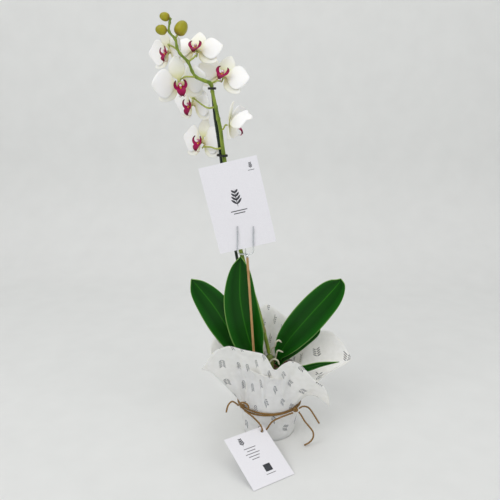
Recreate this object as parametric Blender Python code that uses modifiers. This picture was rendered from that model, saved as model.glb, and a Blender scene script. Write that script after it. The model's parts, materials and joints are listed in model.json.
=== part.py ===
"""Potted moth orchid in a tissue-wrapped grow pot, tied with twine, with a gift card and a hang tag.

Frame: +Z up, the front towards -Y, the origin on the surface under the middle of the pot.
Every length below is in millimetres, and vec() turns a place into metres.
"""
import math

import bmesh
import bpy
from mathutils import Matrix, Vector

MM = 0.001
GAP = 0.3
MERGE = 0.00001

# Grow pot: a tapered nursery pot with a hole in the middle of its floor and four round it.
POT_FOOT = 1.7
POT_HEIGHT = 115.0
POT_TOP_RADIUS = 58.0
POT_BASE_RADIUS = 43.0
POT_WALL = 1.4
DRAIN_RADIUS = 6.0
DRAIN_RING = 26.0
DRAIN_COUNT = 4

# Bark and crown.
BARK_TOP = 106.0
BARK_DOME = 4.0
CROWN_RADIUS = 9.0
CROWN_BOTTOM = 96.0
CROWN_TOP = 146.0

# Tissue sheets: lifted round the pot, pinched at the tie and open above it.
TISSUE = 0.5
TIE_HEIGHT = 60.0
SHEET_CLEARANCE = {"outer": 2.7, "inner": 1.4}
FLARE_POWER = 1.2
FLARE_ROWS = 4
RIB_STEP = 13.0
# Each edge key is azimuth in degrees from +X, radius, height, and how far the flare arches up on its way.
OUTER_EDGE = (
    (-152, 125, 150, 0), (-147, 112, 182, 0), (-136, 93, 193, 0), (-114, 82, 189, 0), (-97, 80, 184, 0),
    (-86, 74, 150, 0), (-79, 80, 165, 0), (-69, 86, 175, 0), (-57, 90, 163, 0), (-47, 96, 137, 0),
    (-39, 106, 114, 8), (-33, 112, 84, 20), (-22, 98, 74, 16), (-8, 84, 70, 6), (12, 88, 76, 2),
    (40, 84, 100, 0), (70, 84, 130, 0), (100, 86, 138, 0), (132, 90, 130, 0), (165, 104, 120, 0),
    (188, 114, 124, 0))
INNER_EDGE = (
    (-150, 84, 150, 0), (-120, 70, 150, 0), (-86, 66, 135, 0), (-60, 68, 130, 0), (-35, 66, 122, 0),
    (-16, 96, 124, 0), (8, 149, 130, 0), (15, 116, 180, 0), (22, 92, 174, 0), (50, 80, 170, 0),
    (67, 79, 186, 0), (93, 83, 208, 0), (118, 84, 182, 0), (145, 90, 165, 0), (162, 100, 166, 0),
    (171, 104, 150, 0), (190, 96, 140, 0))

# Leaves: spine points from the crown to the tip, widest half width, how far the edges rise, and a
# power over 1 that puts the widest place past the middle.
LEAF_THICKNESS = 1.6
LEAF_BASE_HALF = 6.0
LEAF_TIP_HALF = 1.8
LEAVES = {
    "leaf_left": (((-16, -1, 128), (-45, -3, 152), (-71, -6, 194), (-96, -9, 238), (-126, -11, 276),
                   (-136, -11, 283)), 28.0, 7.0, 1.3),
    "leaf_centre": (((-10, -12, 138), (-29, -14, 160), (-40, -14, 192), (-51, -13, 250), (-51.5, -12, 302),
                     (-50, -12, 328)), 30.0, 8.0, 1.2),
    "leaf_right": (((13, 3, 134), (32, 1, 170), (62, -2, 211), (97, -3, 254), (114, -2, 275),
                    (119, -1, 285)), 29.0, 7.0, 1.0),
    "leaf_lower_right": (((13, 8, 119), (34, 10, 146), (60, 11, 174), (80, 10, 190), (89, 9, 196)),
                         17.0, 3.0, 1.3),
    "leaf_small": (((11, -15, 119), (30, -25, 126), (58, -37, 136), (84, -44, 147), (116, -43, 151)),
                   9.0, 2.0, 1.3)}

# Flower stem: main axis from the crown to the tip, with its radius at each point.
STEM_AXIS = (
    ((-1, 1, 146.6), 3.4), ((-10, 3, 185), 3.3), ((-21, 4, 230), 3.3), ((-49, 0, 329), 3.4),
    ((-66, -10, 425), 3.4), ((-76.5, -19, 500), 3.2), ((-80, -21.5, 532), 2.9), ((-83.5, -23.5, 551), 2.8),
    ((-87, -25, 569), 2.7), ((-91.5, -28, 591), 2.5), ((-94, -30, 603), 2.7), ((-104, -31, 607.5), 2.1),
    ((-115, -32.5, 612.5), 2.2), ((-121, -34, 621), 2.0), ((-126.5, -35.5, 634), 2.1),
    ((-138, -37.5, 646), 1.8), ((-142, -39, 656), 1.7), ((-144, -40, 666), 1.9), ((-152, -43, 676), 1.6),
    ((-150.5, -45, 688), 1.4), ((-149, -45, 694), 1.4))
STEM_RINGS = 52
PEDICEL_RADIUS = 1.4
PEDICEL_ENTRY = 5.0

# Stakes and clips.
STAKE_PATH = ((-15, 11, 34), (-24, 11, 112), (-30, 10, 153), (-58, 8, 327), (-73, -2, 425),
              (-81.8, -12.5, 500), (-85.8, -14.5, 531), (-89, -17, 556), (-92.8, -22, 604))
STAKE_RADIUS = 2.5
STAKE_RINGS = 18
STICK_PATH = ((-21.3, -18, 50), (-39, -37, 333))
STICK_RADIUS = 2.0
CLIP_HEIGHTS = {"stem_clip_lower": 494.0, "stem_clip_upper": 596.0}
CLIP_WIRE = 1.1
CLIP_BORE = 4.2

# Blooms: centre of the flower, then turn to the right, nod downwards and roll, in degrees.
SEPAL_LENGTH = 36.0
SEPAL_WIDTH = 25.0
PETAL_LENGTH = 38.0
PETAL_WIDTH = 44.0
TEPAL_THICKNESS = 0.8
HUB_RADIUS = 4.0
CLAW_HALF = 2.4
CLAW_SHARE = 0.1
TEPAL_BLUNT = 0.10
TEPAL_ROLL = 0.06
TEPAL_STATIONS = (0.0, 0.1, 0.28, 0.52, 0.78, 1.0)
SEPAL_SETBACK = 2.0
LIP_TONGUE = ((0, -1.5, 2.2), (0, -4.5, 7), (0, -8.5, 10.5), (0, -12.5, 12), (0, -16, 11))
LIP_LOBE = ((1.2, -3.6, 5.6), (4.6, -4.2, 8.4), (7.6, -0.6, 10.4), (7.2, 4.6, 10.2))
LIP_THICKNESS = 1.2
COLUMN_PATH = ((0, 0, 1.3), (0, 0.6, 6), (0, 1.0, 10.5))
COLUMN_RADII = (2.6, 2.2, 2.2)
# Forms of flower: size, then for each sepal and petal its angle and how far its tip leans forwards,
# and for a lip that stands out from the petals how far it does and its tilt.
FORMS = {
    "open": {"size": 1.0, "sepals": ((90, -2.0), (212, -2.0), (328, -2.0)), "petals": ((8, 1.0), (172, 1.0))},
    "opening": {"size": 0.88, "sepals": ((90, 14.0), (212, 12.0), (328, -2.0)),
                "petals": ((8, 1.0), (172, 16.0))},
    "half_open": {"size": 0.95, "sepals": ((90, 3.0), (204, 12.0), (336, 12.0)),
                  "petals": ((48, 16.0), (127, 38.0)), "lip": (4.0, -24.0)}}
BLOOMS = {
    "flower_1": ((-159, -6, 650), -50, 0, 12, "opening"),
    "flower_2": ((-118, 12, 654), -8, -42, 0, "open"),
    "flower_3": ((-77, 8, 616), 0, -35, -18, "open"),
    "flower_4": ((-141, -27, 603), 14, 12, 10, "open"),
    "flower_5": ((-127, 16, 572), -44, 5, 0, "open"),
    "flower_6": ((-65.5, -18, 540), 80, 8, 0, "half_open"),
    "flower_7": ((-113, 18, 513), -40, -8, 0, "open")}
# Each flower's stalk: places from the stem on, then more places measured from the flower itself.
UNDER = ((0, -12, 0), (0, -7, -8))
OVER = ((9.5, 9.5, 4), (5.8, 6.8, -1), (4.2, 5.2, -6))
BESIDE = ((10, -9, 5), (4, -10.5, 1), (1, -6, -6))
STALKS = {
    "flower_1": (((-138, -37.5, 646), (-144, -35, 653)), OVER),
    "flower_2": (((-126.5, -35.5, 634), (-118, -27, 641)), UNDER),
    "flower_3": (((-94, -30, 603), (-85, -27, 607)), UNDER),
    "flower_4": (((-115, -32.5, 612.5), (-124, -36, 613)), OVER),
    "flower_5": (((-87, -25, 569), (-98, -24, 567), (-108, -12, 571)), OVER),
    "flower_6": (((-80.5, -22, 534), (-76, -22.5, 535.5)), ()),
    "flower_7": (((-77, -20, 506), (-88, -21, 505), (-97, -6, 506)), BESIDE)}

# Buds: middle, radius, half length, and where the stalk leaves the stem.
BUDS = {
    "bud_1": ((-157.5, -45, 696), 6.3, 7.4, (-149, -45, 694)),
    "bud_2": ((-163, -46, 678), 7.2, 8.4, (-152, -43, 677)),
    "bud_3": ((-135, -37, 681), 9.4, 11.4, (-144, -40, 666))}

# Gift card and its clear clip.
CARD_WIDTH = 92.0
CARD_HEIGHT = 140.0
CARD_THICKNESS = 0.6
CARD_MIDDLE = (-53.5, -45.0, 419.5)
CARD_ROLL = 13.2
CLIP_FOOT = (-42.0, -45.0, 341.0)
CLIP_SPREAD = 25.0
CLIP_REACH = 45.0
CLIP_ROD = 1.2

# Hang tag: leans from the surface towards the pot, and its hole is near the corner by the pot.
TAG_WIDTH = 78.0
TAG_HEIGHT = 98.0
TAG_THICKNESS = 0.6
TAG_LOW_LEFT = (-29.0, -179.0, 0.35)
TAG_HEADING = 32.8
TAG_SLOPE = 24.1
TAG_HOLE_INSET = 8.0
TAG_HOLE_RADIUS = 3.4

# Twine: one turn round the pot, a strand through the tag, the knots and the loose ends.
TWINE_RADIUS = 1.5
KNOT_RADIUS = 4.2
KNOTS = {"twine_knot_left": (-48.0, -39.5, 66.0), "twine_knot_right": (44.0, -44.0, 61.0)}
TWINE_STRANDS = {
    "twine_tag_strand": ((-44, -45.8, 61), (-36, -54, 59), (-27, -63.5, 56), (-18, -71.5, 50),
                         (-14.3, -73.2, 42), (-14.9, -71.6, 36), (-15.8, -68.4, 30), (-11.5, -62, 27),
                         (-5, -58.5, 34), (3.5, -58.5, 47), (18, -58, 55), (39, -51, 59.5)),
    "twine_tail_left": ((-54.5, -42, 68), (-60, -45, 75), (-66, -48, 79), (-72, -54, 75), (-75, -61, 66)),
    "twine_tail_long": ((49.5, -46, 58), (54, -46, 51), (60, -48, 41), (68, -51, 32), (74, -54, 24),
                        (74, -57, 15), (68, -59, 7), (59, -60, 2)),
    "twine_tail_short": ((50, -41, 62), (58, -36, 63), (68, -33, 58), (77, -36, 46), (86, -40, 32)),
    "twine_bow": ((-50, -45.5, 70), (-52, -49, 76), (-47, -54, 81), (-40, -56, 79), (-37, -55.5, 72),
                  (-41, -50.5, 67))}

# Aerial roots over the bark.
ROOT_RADIUS = 1.4
ROOTS = {
    "aerial_root_1": ((4, -12, 150), (3, -17, 163), (8, -25, 172), (9, -30, 181), (14, -31, 185),
                      (19, -31, 181)),
    "aerial_root_2": ((9, -13, 140), (11, -20, 156), (14, -24, 163), (22, -29, 162)),
    "aerial_root_3": ((-2, -15, 130), (-1, -24, 140), (3, -31, 149), (8, -35, 152), (13, -36, 149),
                      (15, -37, 142)),
    "aerial_root_4": ((-12, -9, 120), (-20, -24, 121), (-30, -33, 114), (-36, -36, 111.6))}

COLOURS = {
    "pot_plastic": ((0.62, 0.60, 0.58), 0.35),
    "bark": ((0.16, 0.08, 0.04), 0.9),
    "crown_tissue": ((0.22, 0.30, 0.08), 0.6),
    "leaf": ((0.02, 0.11, 0.02), 0.28),
    "root": ((0.68, 0.66, 0.52), 0.6),
    "stem": ((0.10, 0.22, 0.04), 0.45),
    "bud": ((0.38, 0.40, 0.06), 0.5),
    "sepal": ((0.86, 0.86, 0.76), 0.55),
    "petal": ((0.92, 0.91, 0.90), 0.5),
    "lip": ((0.42, 0.01, 0.12), 0.4),
    "stake_plastic": ((0.01, 0.03, 0.015), 0.4),
    "clip_plastic": ((0.01, 0.01, 0.01), 0.35),
    "bamboo": ((0.62, 0.42, 0.24), 0.6),
    "clear_plastic": ((0.85, 0.88, 0.90), 0.1),
    "card": ((0.88, 0.87, 0.90), 0.6),
    "tissue": ((0.88, 0.88, 0.86), 0.75),
    "twine": ((0.42, 0.26, 0.10), 0.9)}


def vec(point):
    """A place in millimetres as a vector in metres."""
    return Vector(point) * MM


def clear_scene():
    for old in list(bpy.data.objects):
        bpy.data.objects.remove(old, do_unlink=True)


def new_collection(name):
    collection = bpy.data.collections.new(name)
    bpy.context.scene.collection.children.link(collection)
    return collection


def make_materials():
    """One Principled material for each finish."""
    made = {}
    for name, (colour, roughness) in COLOURS.items():
        material = bpy.data.materials.new(name)
        material.use_nodes = True
        shader = material.node_tree.nodes["Principled BSDF"]
        shader.inputs["Base Color"].default_value = (*colour, 1.0)
        shader.inputs["Roughness"].default_value = roughness
        shader.inputs["Metallic"].default_value = 0.0
        made[name] = material
    return made


def smooth_path(points, count):
    """Evenly numbered points on a smooth curve through the given ones."""
    knots = [Vector(point) for point in points]
    knots = [knots[0] * 2 - knots[1], *knots, knots[-1] * 2 - knots[-2]]
    spans = len(points) - 1
    path = []
    for step in range(count):
        place = min(step * spans / (count - 1), spans - 1e-6)
        span = int(place)
        t = place - span
        a, b, c, d = knots[span:span + 4]
        path.append(0.5 * (2 * b + (c - a) * t + (2 * a - 5 * b + 4 * c - d) * t * t
                           + (3 * b - a - 3 * c + d) * t * t * t))
    return path


def add_object(name, data, material, collection):
    """A named object with one material, its round faces shaded smooth."""
    thing = bpy.data.objects.new(name, data)
    if material and not data.materials:
        data.materials.append(material)
    if isinstance(data, bpy.types.Mesh):
        data.shade_smooth()
        data.set_sharp_from_angle(angle=math.radians(40))
    collection.objects.link(thing)
    return thing


def bake(thing, name=None):
    """The evaluated shape of an object as a plain mesh object in the same place."""
    bpy.context.view_layer.update()
    evaluated = thing.evaluated_get(bpy.context.evaluated_depsgraph_get())
    mesh = bpy.data.meshes.new_from_object(evaluated)
    cage = bmesh.new()
    cage.from_mesh(mesh)
    bmesh.ops.remove_doubles(cage, verts=cage.verts, dist=MERGE)
    bmesh.ops.recalc_face_normals(cage, faces=cage.faces)
    cage.to_mesh(mesh)
    cage.free()
    plain = bpy.data.objects.new(name or thing.name, mesh)
    plain.matrix_world = thing.matrix_world
    for collection in thing.users_collection:
        collection.objects.link(plain)
    final_name = name or thing.name
    bpy.data.objects.remove(thing, do_unlink=True)
    plain.name = final_name
    mesh.shade_smooth()
    mesh.set_sharp_from_angle(angle=math.radians(40))
    return plain


def combine(base, tools, operation):
    """Base joined with, or cut by, each tool in turn; the tools are used up."""
    for tool in tools:
        change = base.modifiers.new(tool.name, "BOOLEAN")
        change.operation = operation
        change.solver = "EXACT"
        change.object = tool
    base = bake(base)
    for tool in tools:
        bpy.data.objects.remove(tool, do_unlink=True)
    return base


def add_tube(name, points, material, collection, radius, closed=False, resolution=2):
    """A round rod, twig or string through points; radius is one value or one for each point."""
    curve = bpy.data.curves.new(name, "CURVE")
    curve.dimensions = "3D"
    curve.bevel_depth = MM
    curve.bevel_resolution = resolution
    curve.use_fill_caps = True
    spline = curve.splines.new("POLY")
    spline.points.add(len(points) - 1)
    for index, point in enumerate(points):
        spline.points[index].co = (*vec(point), 1.0)
        spline.points[index].radius = radius[index] if isinstance(radius, list) else radius
    spline.use_cyclic_u = closed
    return add_object(name, curve, material, collection)


def add_turned(name, profile, material, collection, steps=24, closed=True):
    """A profile of (radius, height) turned about the vertical axis."""
    mesh = bpy.data.meshes.new(name)
    count = len(profile)
    edges = [(index, (index + 1) % count) for index in range(count if closed else count - 1)]
    mesh.from_pydata([vec((radius, 0, height)) for radius, height in profile], edges, [])
    thing = add_object(name, mesh, material, collection)
    screw = thing.modifiers.new("Turn", "SCREW")
    screw.steps = screw.render_steps = steps
    screw.use_merge_vertices = True
    screw.merge_threshold = MERGE
    return thing


def thicken(thing, thickness, offset):
    """Give an open surface its thickness."""
    shell = thing.modifiers.new("Thickness", "SOLIDIFY")
    shell.thickness = thickness * MM
    shell.offset = offset


def pot_radius(height, wall=0.0):
    """Outer radius of the pot's wall at a height, less a wall thickness."""
    share = (height - POT_FOOT) / (POT_HEIGHT - POT_FOOT)
    return POT_BASE_RADIUS + (POT_TOP_RADIUS - POT_BASE_RADIUS) * share - wall


def add_cutter_rod(name, start, end, radius, cutters, sides=16):
    """A straight cutter between two places."""
    axis = vec(end) - vec(start)
    bpy.ops.mesh.primitive_cylinder_add(vertices=sides, radius=radius * MM, depth=axis.length)
    rod = bpy.context.active_object
    rod.name = name
    turn = axis.to_track_quat("Z", "Y").to_matrix().to_4x4()
    rod.matrix_world = Matrix.Translation((vec(start) + vec(end)) / 2) @ turn
    for collection in list(rod.users_collection):
        collection.objects.unlink(rod)
    cutters.objects.link(rod)
    rod.hide_render = True
    rod.display_type = "WIRE"
    return rod


def build_pot(materials, parts, cutters):
    floor_top = POT_FOOT + POT_WALL
    profile = [
        (POT_TOP_RADIUS, POT_HEIGHT), (pot_radius(POT_FOOT), POT_FOOT), (DRAIN_RADIUS, POT_FOOT),
        (DRAIN_RADIUS, floor_top), (pot_radius(floor_top, POT_WALL), floor_top),
        (POT_TOP_RADIUS - POT_WALL, POT_HEIGHT)]
    pot = add_turned("grow_pot", profile, materials["pot_plastic"], parts)
    holes = []
    for index in range(DRAIN_COUNT):
        angle = math.tau * index / DRAIN_COUNT
        place = (DRAIN_RING * math.cos(angle), DRAIN_RING * math.sin(angle))
        holes.append(add_cutter_rod(f"drain_{index}", (*place, 0), (*place, 9), DRAIN_RADIUS, cutters, 12))
    return combine(bake(pot), holes, "DIFFERENCE")


def build_bark(materials, parts, cutters):
    """Bark filling the pot, with sockets for the crown, the stake and the stick."""
    low = POT_FOOT + POT_WALL + GAP
    inset = POT_WALL + GAP
    profile = [(0, BARK_TOP + BARK_DOME), (30, BARK_TOP + BARK_DOME * 0.6), (48, BARK_TOP),
               (pot_radius(BARK_TOP - 3, inset), BARK_TOP - 3), (pot_radius(low, inset), low), (0, low)]
    bark = bake(add_turned("bark_medium", profile, materials["bark"], parts, closed=False))
    sockets = [
        add_cutter_rod("crown_socket", (0, 0, CROWN_BOTTOM - GAP), (0, 0, BARK_TOP + 3 * BARK_DOME),
                       CROWN_RADIUS + GAP, cutters, 24),
        socket_round("stake", smooth_path(STAKE_PATH, STAKE_RINGS), STAKE_RADIUS, cutters),
        socket_round("stick", STICK_PATH, STICK_RADIUS, cutters)]
    return combine(bark, sockets, "DIFFERENCE")


def socket_round(name, path, radius, cutters):
    """A cutter that follows the lower part of a rod, with a gap all round and below it."""
    path = [Vector(point) for point in path]
    start = path[0] - (path[1] - path[0]).normalized() * GAP * 2
    return bake(add_tube(f"{name}_socket", [start, *path[1:]], None, cutters, radius + 2 * GAP))


def build_crown(materials, parts):
    profile = [(0, CROWN_TOP), (4.5, CROWN_TOP - 0.6), (7.2, CROWN_TOP - 6), (CROWN_RADIUS, CROWN_TOP - 20),
               (CROWN_RADIUS, CROWN_BOTTOM + 3), (6, CROWN_BOTTOM), (0, CROWN_BOTTOM)]
    return bake(add_turned("crown", profile, materials["crown_tissue"], parts, steps=16, closed=False))


def leaf_half_width(share, widest, power):
    """Half width along a leaf: narrow at the crown, widest about the middle, tapering to the tip."""
    swell = math.sin(math.pi * share ** power) ** 0.8 if share < 1 else 0.0
    return max(LEAF_BASE_HALF * (1 - share), widest * swell, LEAF_TIP_HALF)


def add_blade(name, spine, half_width, rise, side_hint, material, collection, rows=12, columns=4):
    """An open blade along a spine; its edges rise from the midrib by the given amount."""
    path = smooth_path(spine, rows + 1)
    mesh_builder = bmesh.new()
    grid = []
    for index, point in enumerate(path):
        share = index / rows
        along = (path[min(index + 1, rows)] - path[max(index - 1, 0)]).normalized()
        side = along.cross(Vector(side_hint)).normalized()
        face = side.cross(along).normalized()
        half = half_width(share)
        line = []
        for column in range(columns + 1):
            across = 2 * column / columns - 1
            lift = rise(share) * across * across
            line.append(mesh_builder.verts.new((point + side * half * across + face * lift) * MM))
        grid.append(line)
    for lower, upper in zip(grid, grid[1:]):
        for column in range(columns):
            mesh_builder.faces.new((lower[column], lower[column + 1], upper[column + 1], upper[column]))
    mesh = bpy.data.meshes.new(name)
    mesh_builder.to_mesh(mesh)
    mesh_builder.free()
    return add_object(name, mesh, material, collection)


def build_leaves(materials, parts):
    for name, (spine, widest, rise, power) in LEAVES.items():
        blade = add_blade(name, spine, lambda share: leaf_half_width(share, widest, power),
                          lambda share: rise * (1 - 0.5 * share) * min(1.0, 4 * share + 0.2),
                          (0, -1, 0.15), materials["leaf"], parts)
        thicken(blade, LEAF_THICKNESS, 0.0)


def bloom_matrix(bloom):
    """Place of a flower: local +Z is the way it faces and local +Y is its upper sepal."""
    centre, turn, nod, roll, form = bloom
    return (Matrix.Translation(vec(centre)) @ Matrix.Rotation(math.radians(turn), 4, "Z")
            @ Matrix.Rotation(math.radians(90 + nod), 4, "X") @ Matrix.Rotation(math.radians(roll), 4, "Z")
            @ Matrix.Scale(FORMS[form]["size"], 4))


def tepal_half_width(share, width):
    """Half width along a sepal or petal: a narrow claw, then a round blade with a blunt tip."""
    blade = max(0.0, share - CLAW_SHARE) / (1 - CLAW_SHARE)
    swell = math.sin(math.pi * (0.93 * blade) ** 0.9) ** 0.8 if blade else 0.0
    return CLAW_HALF + (width / 2 - CLAW_HALF) * swell


def whorl_mesh(name, spread, length, width, columns):
    """Sepals or petals spreading from a small flat hub, as one open surface."""
    builder = bmesh.new()
    hub = []
    tip = HUB_RADIUS + length
    for angle, bend in spread:
        out = Vector((math.cos(math.radians(angle)), math.sin(math.radians(angle)), 0))
        side = Vector((-out.y, out.x, 0))
        grid = []
        for share in TEPAL_STATIONS:
            half = tepal_half_width(share, width)
            line = []
            for column in range(columns + 1):
                across = 2 * column / columns - 1
                reach = HUB_RADIUS + length * share * (1 - TEPAL_BLUNT * across * across)
                spread_out = Vector((reach, half * across)).length / tip
                reach *= 1 - (spread_out * bend / tip) ** 2 / 2
                place = out * reach + side * half * across
                place.z = bend * spread_out ** 2 - TEPAL_ROLL * width * share * across * across
                line.append(builder.verts.new(place * MM))
            grid.append(line)
        hub.extend(grid[0])
        for lower, upper in zip(grid, grid[1:]):
            for column in range(columns):
                builder.faces.new((lower[column], upper[column], upper[column + 1], lower[column + 1]))
    builder.faces.new(hub)
    mesh = bpy.data.meshes.new(name)
    builder.to_mesh(mesh)
    builder.free()
    return mesh


def build_lip(materials, parts):
    """Lip and column: a tongue, two side lobes and the short column over them, as one mesh."""
    material = materials["lip"]
    tongue = add_blade("tongue", LIP_TONGUE, lambda share: 2.0 + 3.0 * math.sin(math.pi * share) ** 1.5,
                       lambda share: 0.8, (0, 0.4, 1), material, parts, rows=4, columns=2)
    thicken(tongue, LIP_THICKNESS, 0.0)
    pieces = [bake(tongue)]
    for side in (-1, 1):
        spine = [(side * x, y, z) for x, y, z in LIP_LOBE]
        lobe = add_blade(f"lobe_{side}", spine, lambda share: 2.0 + 1.6 * math.sin(math.pi * share),
                         lambda share: 0.5, (0, 0.3, 1), material, parts, rows=3, columns=2)
        thicken(lobe, LIP_THICKNESS, 0.0)
        pieces.append(bake(lobe))
    column = add_tube("column", COLUMN_PATH, material, parts, list(COLUMN_RADII), resolution=1)
    lip = combine(bake(column), pieces, "UNION")
    mesh = lip.data
    bpy.data.objects.remove(lip, do_unlink=True)
    return mesh


def build_blooms(materials, parts):
    lip = build_lip(materials, parts)
    whorls = {name: (whorl_mesh(f"{name}_sepals", form["sepals"], SEPAL_LENGTH, SEPAL_WIDTH, 2),
                     whorl_mesh(f"{name}_petals", form["petals"], PETAL_LENGTH, PETAL_WIDTH, 4))
              for name, form in FORMS.items()}
    for name, bloom in BLOOMS.items():
        place = bloom_matrix(bloom)
        sepals, petals = whorls[bloom[-1]]
        back = add_object(f"{name}_sepals", sepals, materials["sepal"], parts)
        back.matrix_world = place @ Matrix.Translation(vec((0, 0, -SEPAL_SETBACK)))
        thicken(back, TEPAL_THICKNESS, 0.0)
        front = add_object(f"{name}_petals", petals, materials["petal"], parts)
        front.matrix_world = place
        thicken(front, TEPAL_THICKNESS, 0.0)
        push, tilt = FORMS[bloom[-1]].get("lip", (0.0, 0.0))
        add_object(f"{name}_lip", lip, materials["lip"], parts).matrix_world = (
            place @ Matrix.Translation(vec((0, 0, push))) @ Matrix.Rotation(math.radians(tilt), 4, "X"))


def build_stem(materials, parts):
    """The flower stem with the stalk of every flower and bud."""
    axis = smooth_path([point for point, _ in STEM_AXIS], STEM_RINGS)
    last = len(STEM_AXIS) - 1
    radii = []
    for ring in range(STEM_RINGS):
        place = ring * last / (STEM_RINGS - 1)
        low = min(int(place), last - 1)
        radii.append(STEM_AXIS[low][1] + (STEM_AXIS[low + 1][1] - STEM_AXIS[low][1]) * (place - low))
    stem = bake(add_tube("flower_stem", axis, materials["stem"], parts, radii))
    stalks = []
    for name, (first, waypoints) in STALKS.items():
        place = bloom_matrix(BLOOMS[name])
        back = SEPAL_SETBACK + TEPAL_THICKNESS / 2 + GAP
        local = (*waypoints, (0, 0, -back - PEDICEL_ENTRY), (0, 0, -back))
        way = [*map(Vector, first), *(place @ vec(point) / MM for point in local)]
        stalks.append(bake(add_tube(f"stalk_{name}", smooth_path(way, 4 * len(way) - 5),
                                    materials["stem"], parts, PEDICEL_RADIUS, resolution=1)))
    for name, (middle, _, half_length, start) in BUDS.items():
        out = (Vector(middle) - Vector(start)).normalized()
        end = Vector(middle) - out * (half_length + GAP)
        if (end - Vector(start)).length > 2 * PEDICEL_RADIUS:
            stalks.append(bake(add_tube(f"stalk_{name}", [Vector(start), (Vector(start) + end) / 2, end],
                                        materials["stem"], parts, PEDICEL_RADIUS, resolution=1)))
    return combine(stem, stalks, "UNION")


def build_buds(materials, parts):
    for name, (middle, radius, half_length, start) in BUDS.items():
        mesh = bpy.data.meshes.new(name)
        builder = bmesh.new()
        bmesh.ops.create_uvsphere(builder, u_segments=12, v_segments=8, radius=radius * MM)
        bmesh.ops.scale(builder, vec=(1, 1, half_length / radius), verts=builder.verts)
        builder.to_mesh(mesh)
        builder.free()
        bud = add_object(name, mesh, materials["bud"], parts)
        out = (Vector(middle) - Vector(start)).normalized()
        bud.matrix_world = Matrix.Translation(vec(middle)) @ out.to_track_quat("Z", "Y").to_matrix().to_4x4()


def point_at_height(path, height):
    """Where a rising path passes a height."""
    for low, high in zip(path, path[1:]):
        if low[2] <= height <= high[2]:
            share = (height - low[2]) / (high[2] - low[2])
            return Vector(low).lerp(Vector(high), share)
    return Vector(path[-1])


def build_stakes(materials, parts):
    add_tube("stake", smooth_path(STAKE_PATH, STAKE_RINGS), materials["stake_plastic"], parts, STAKE_RADIUS)
    add_tube("card_stick", STICK_PATH, materials["bamboo"], parts, STICK_RADIUS)
    stem_axis = smooth_path([point for point, _ in STEM_AXIS], STEM_RINGS)
    stake_axis = smooth_path(STAKE_PATH, STAKE_RINGS)
    for name, height in CLIP_HEIGHTS.items():
        stem, stake = point_at_height(stem_axis, height), point_at_height(stake_axis, height)
        across = (stem - stake).normalized()
        side = across.cross(Vector((0, 0, 1))).normalized()
        reach = CLIP_BORE + CLIP_WIRE
        loop = []
        for step in range(7):
            angle = math.pi * step / 6 - math.pi / 2
            loop.append(stem + across * reach * math.cos(angle) + side * reach * math.sin(angle))
        for step in range(7):
            angle = math.pi * step / 6 + math.pi / 2
            loop.append(stake + across * reach * math.cos(angle) + side * reach * math.sin(angle))
        add_tube(name, loop, materials["clip_plastic"], parts, CLIP_WIRE, closed=True)


def sheet_edge(keys, azimuth):
    """Radius, height and arch of a sheet's edge at an azimuth, straight between its keys."""
    turn = [*keys, (keys[0][0] + 360, *keys[0][1:])]
    azimuth = (azimuth - keys[0][0]) % 360 + keys[0][0]
    for low, high in zip(turn, turn[1:]):
        if low[0] <= azimuth <= high[0]:
            share = (azimuth - low[0]) / (high[0] - low[0])
            return [low[index] + (high[index] - low[index]) * share for index in (1, 2, 3)]
    return list(keys[0][1:])


def build_sheet(name, keys, clearance, foot, materials, parts):
    """One tissue sheet, open at the top: a flat bottom, a tight wall up to the tie, and a flare."""
    azimuths = []
    turn = [*keys, (keys[0][0] + 360, *keys[0][1:])]
    for low, high in zip(turn, turn[1:]):
        steps = max(1, math.ceil((high[0] - low[0]) / RIB_STEP))
        azimuths.extend(low[0] + (high[0] - low[0]) * step / steps for step in range(steps))
    builder = bmesh.new()
    middle = builder.verts.new(vec((0, 0, foot)))
    ribs = []
    for azimuth in azimuths:
        radius, height, arch = sheet_edge(keys, azimuth)
        tie = pot_radius(TIE_HEIGHT) + clearance
        wall = [(pot_radius(0) + clearance, foot), (pot_radius(TIE_HEIGHT / 2) + clearance, TIE_HEIGHT / 2),
                (tie, TIE_HEIGHT)]
        for row in range(1, FLARE_ROWS + 1):
            share = row / FLARE_ROWS
            wall.append((tie + (radius - tie) * share ** FLARE_POWER,
                         TIE_HEIGHT + (height - TIE_HEIGHT) * share + arch * math.sin(math.pi * share)))
        angle = math.radians(azimuth)
        ribs.append([builder.verts.new(vec((out * math.cos(angle), out * math.sin(angle), up)))
                     for out, up in wall])
    for this, after in zip(ribs, ribs[1:] + ribs[:1]):
        builder.faces.new((middle, after[0], this[0]))
        for row in range(len(this) - 1):
            builder.faces.new((this[row], after[row], after[row + 1], this[row + 1]))
    mesh = bpy.data.meshes.new(name)
    builder.to_mesh(mesh)
    builder.free()
    sheet = add_object(name, mesh, materials["tissue"], parts)
    thicken(sheet, TISSUE, -1.0)
    return sheet


def add_plate(name, width, height, thickness, place, material, parts):
    """A thin rectangular card, its width along local X and its height along local Y."""
    builder = bmesh.new()
    bmesh.ops.create_cube(builder, size=MM)
    bmesh.ops.scale(builder, vec=(width, height, thickness), verts=builder.verts)
    mesh = bpy.data.meshes.new(name)
    builder.to_mesh(mesh)
    builder.free()
    plate = add_object(name, mesh, material, parts)
    plate.matrix_world = place
    return plate


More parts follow.
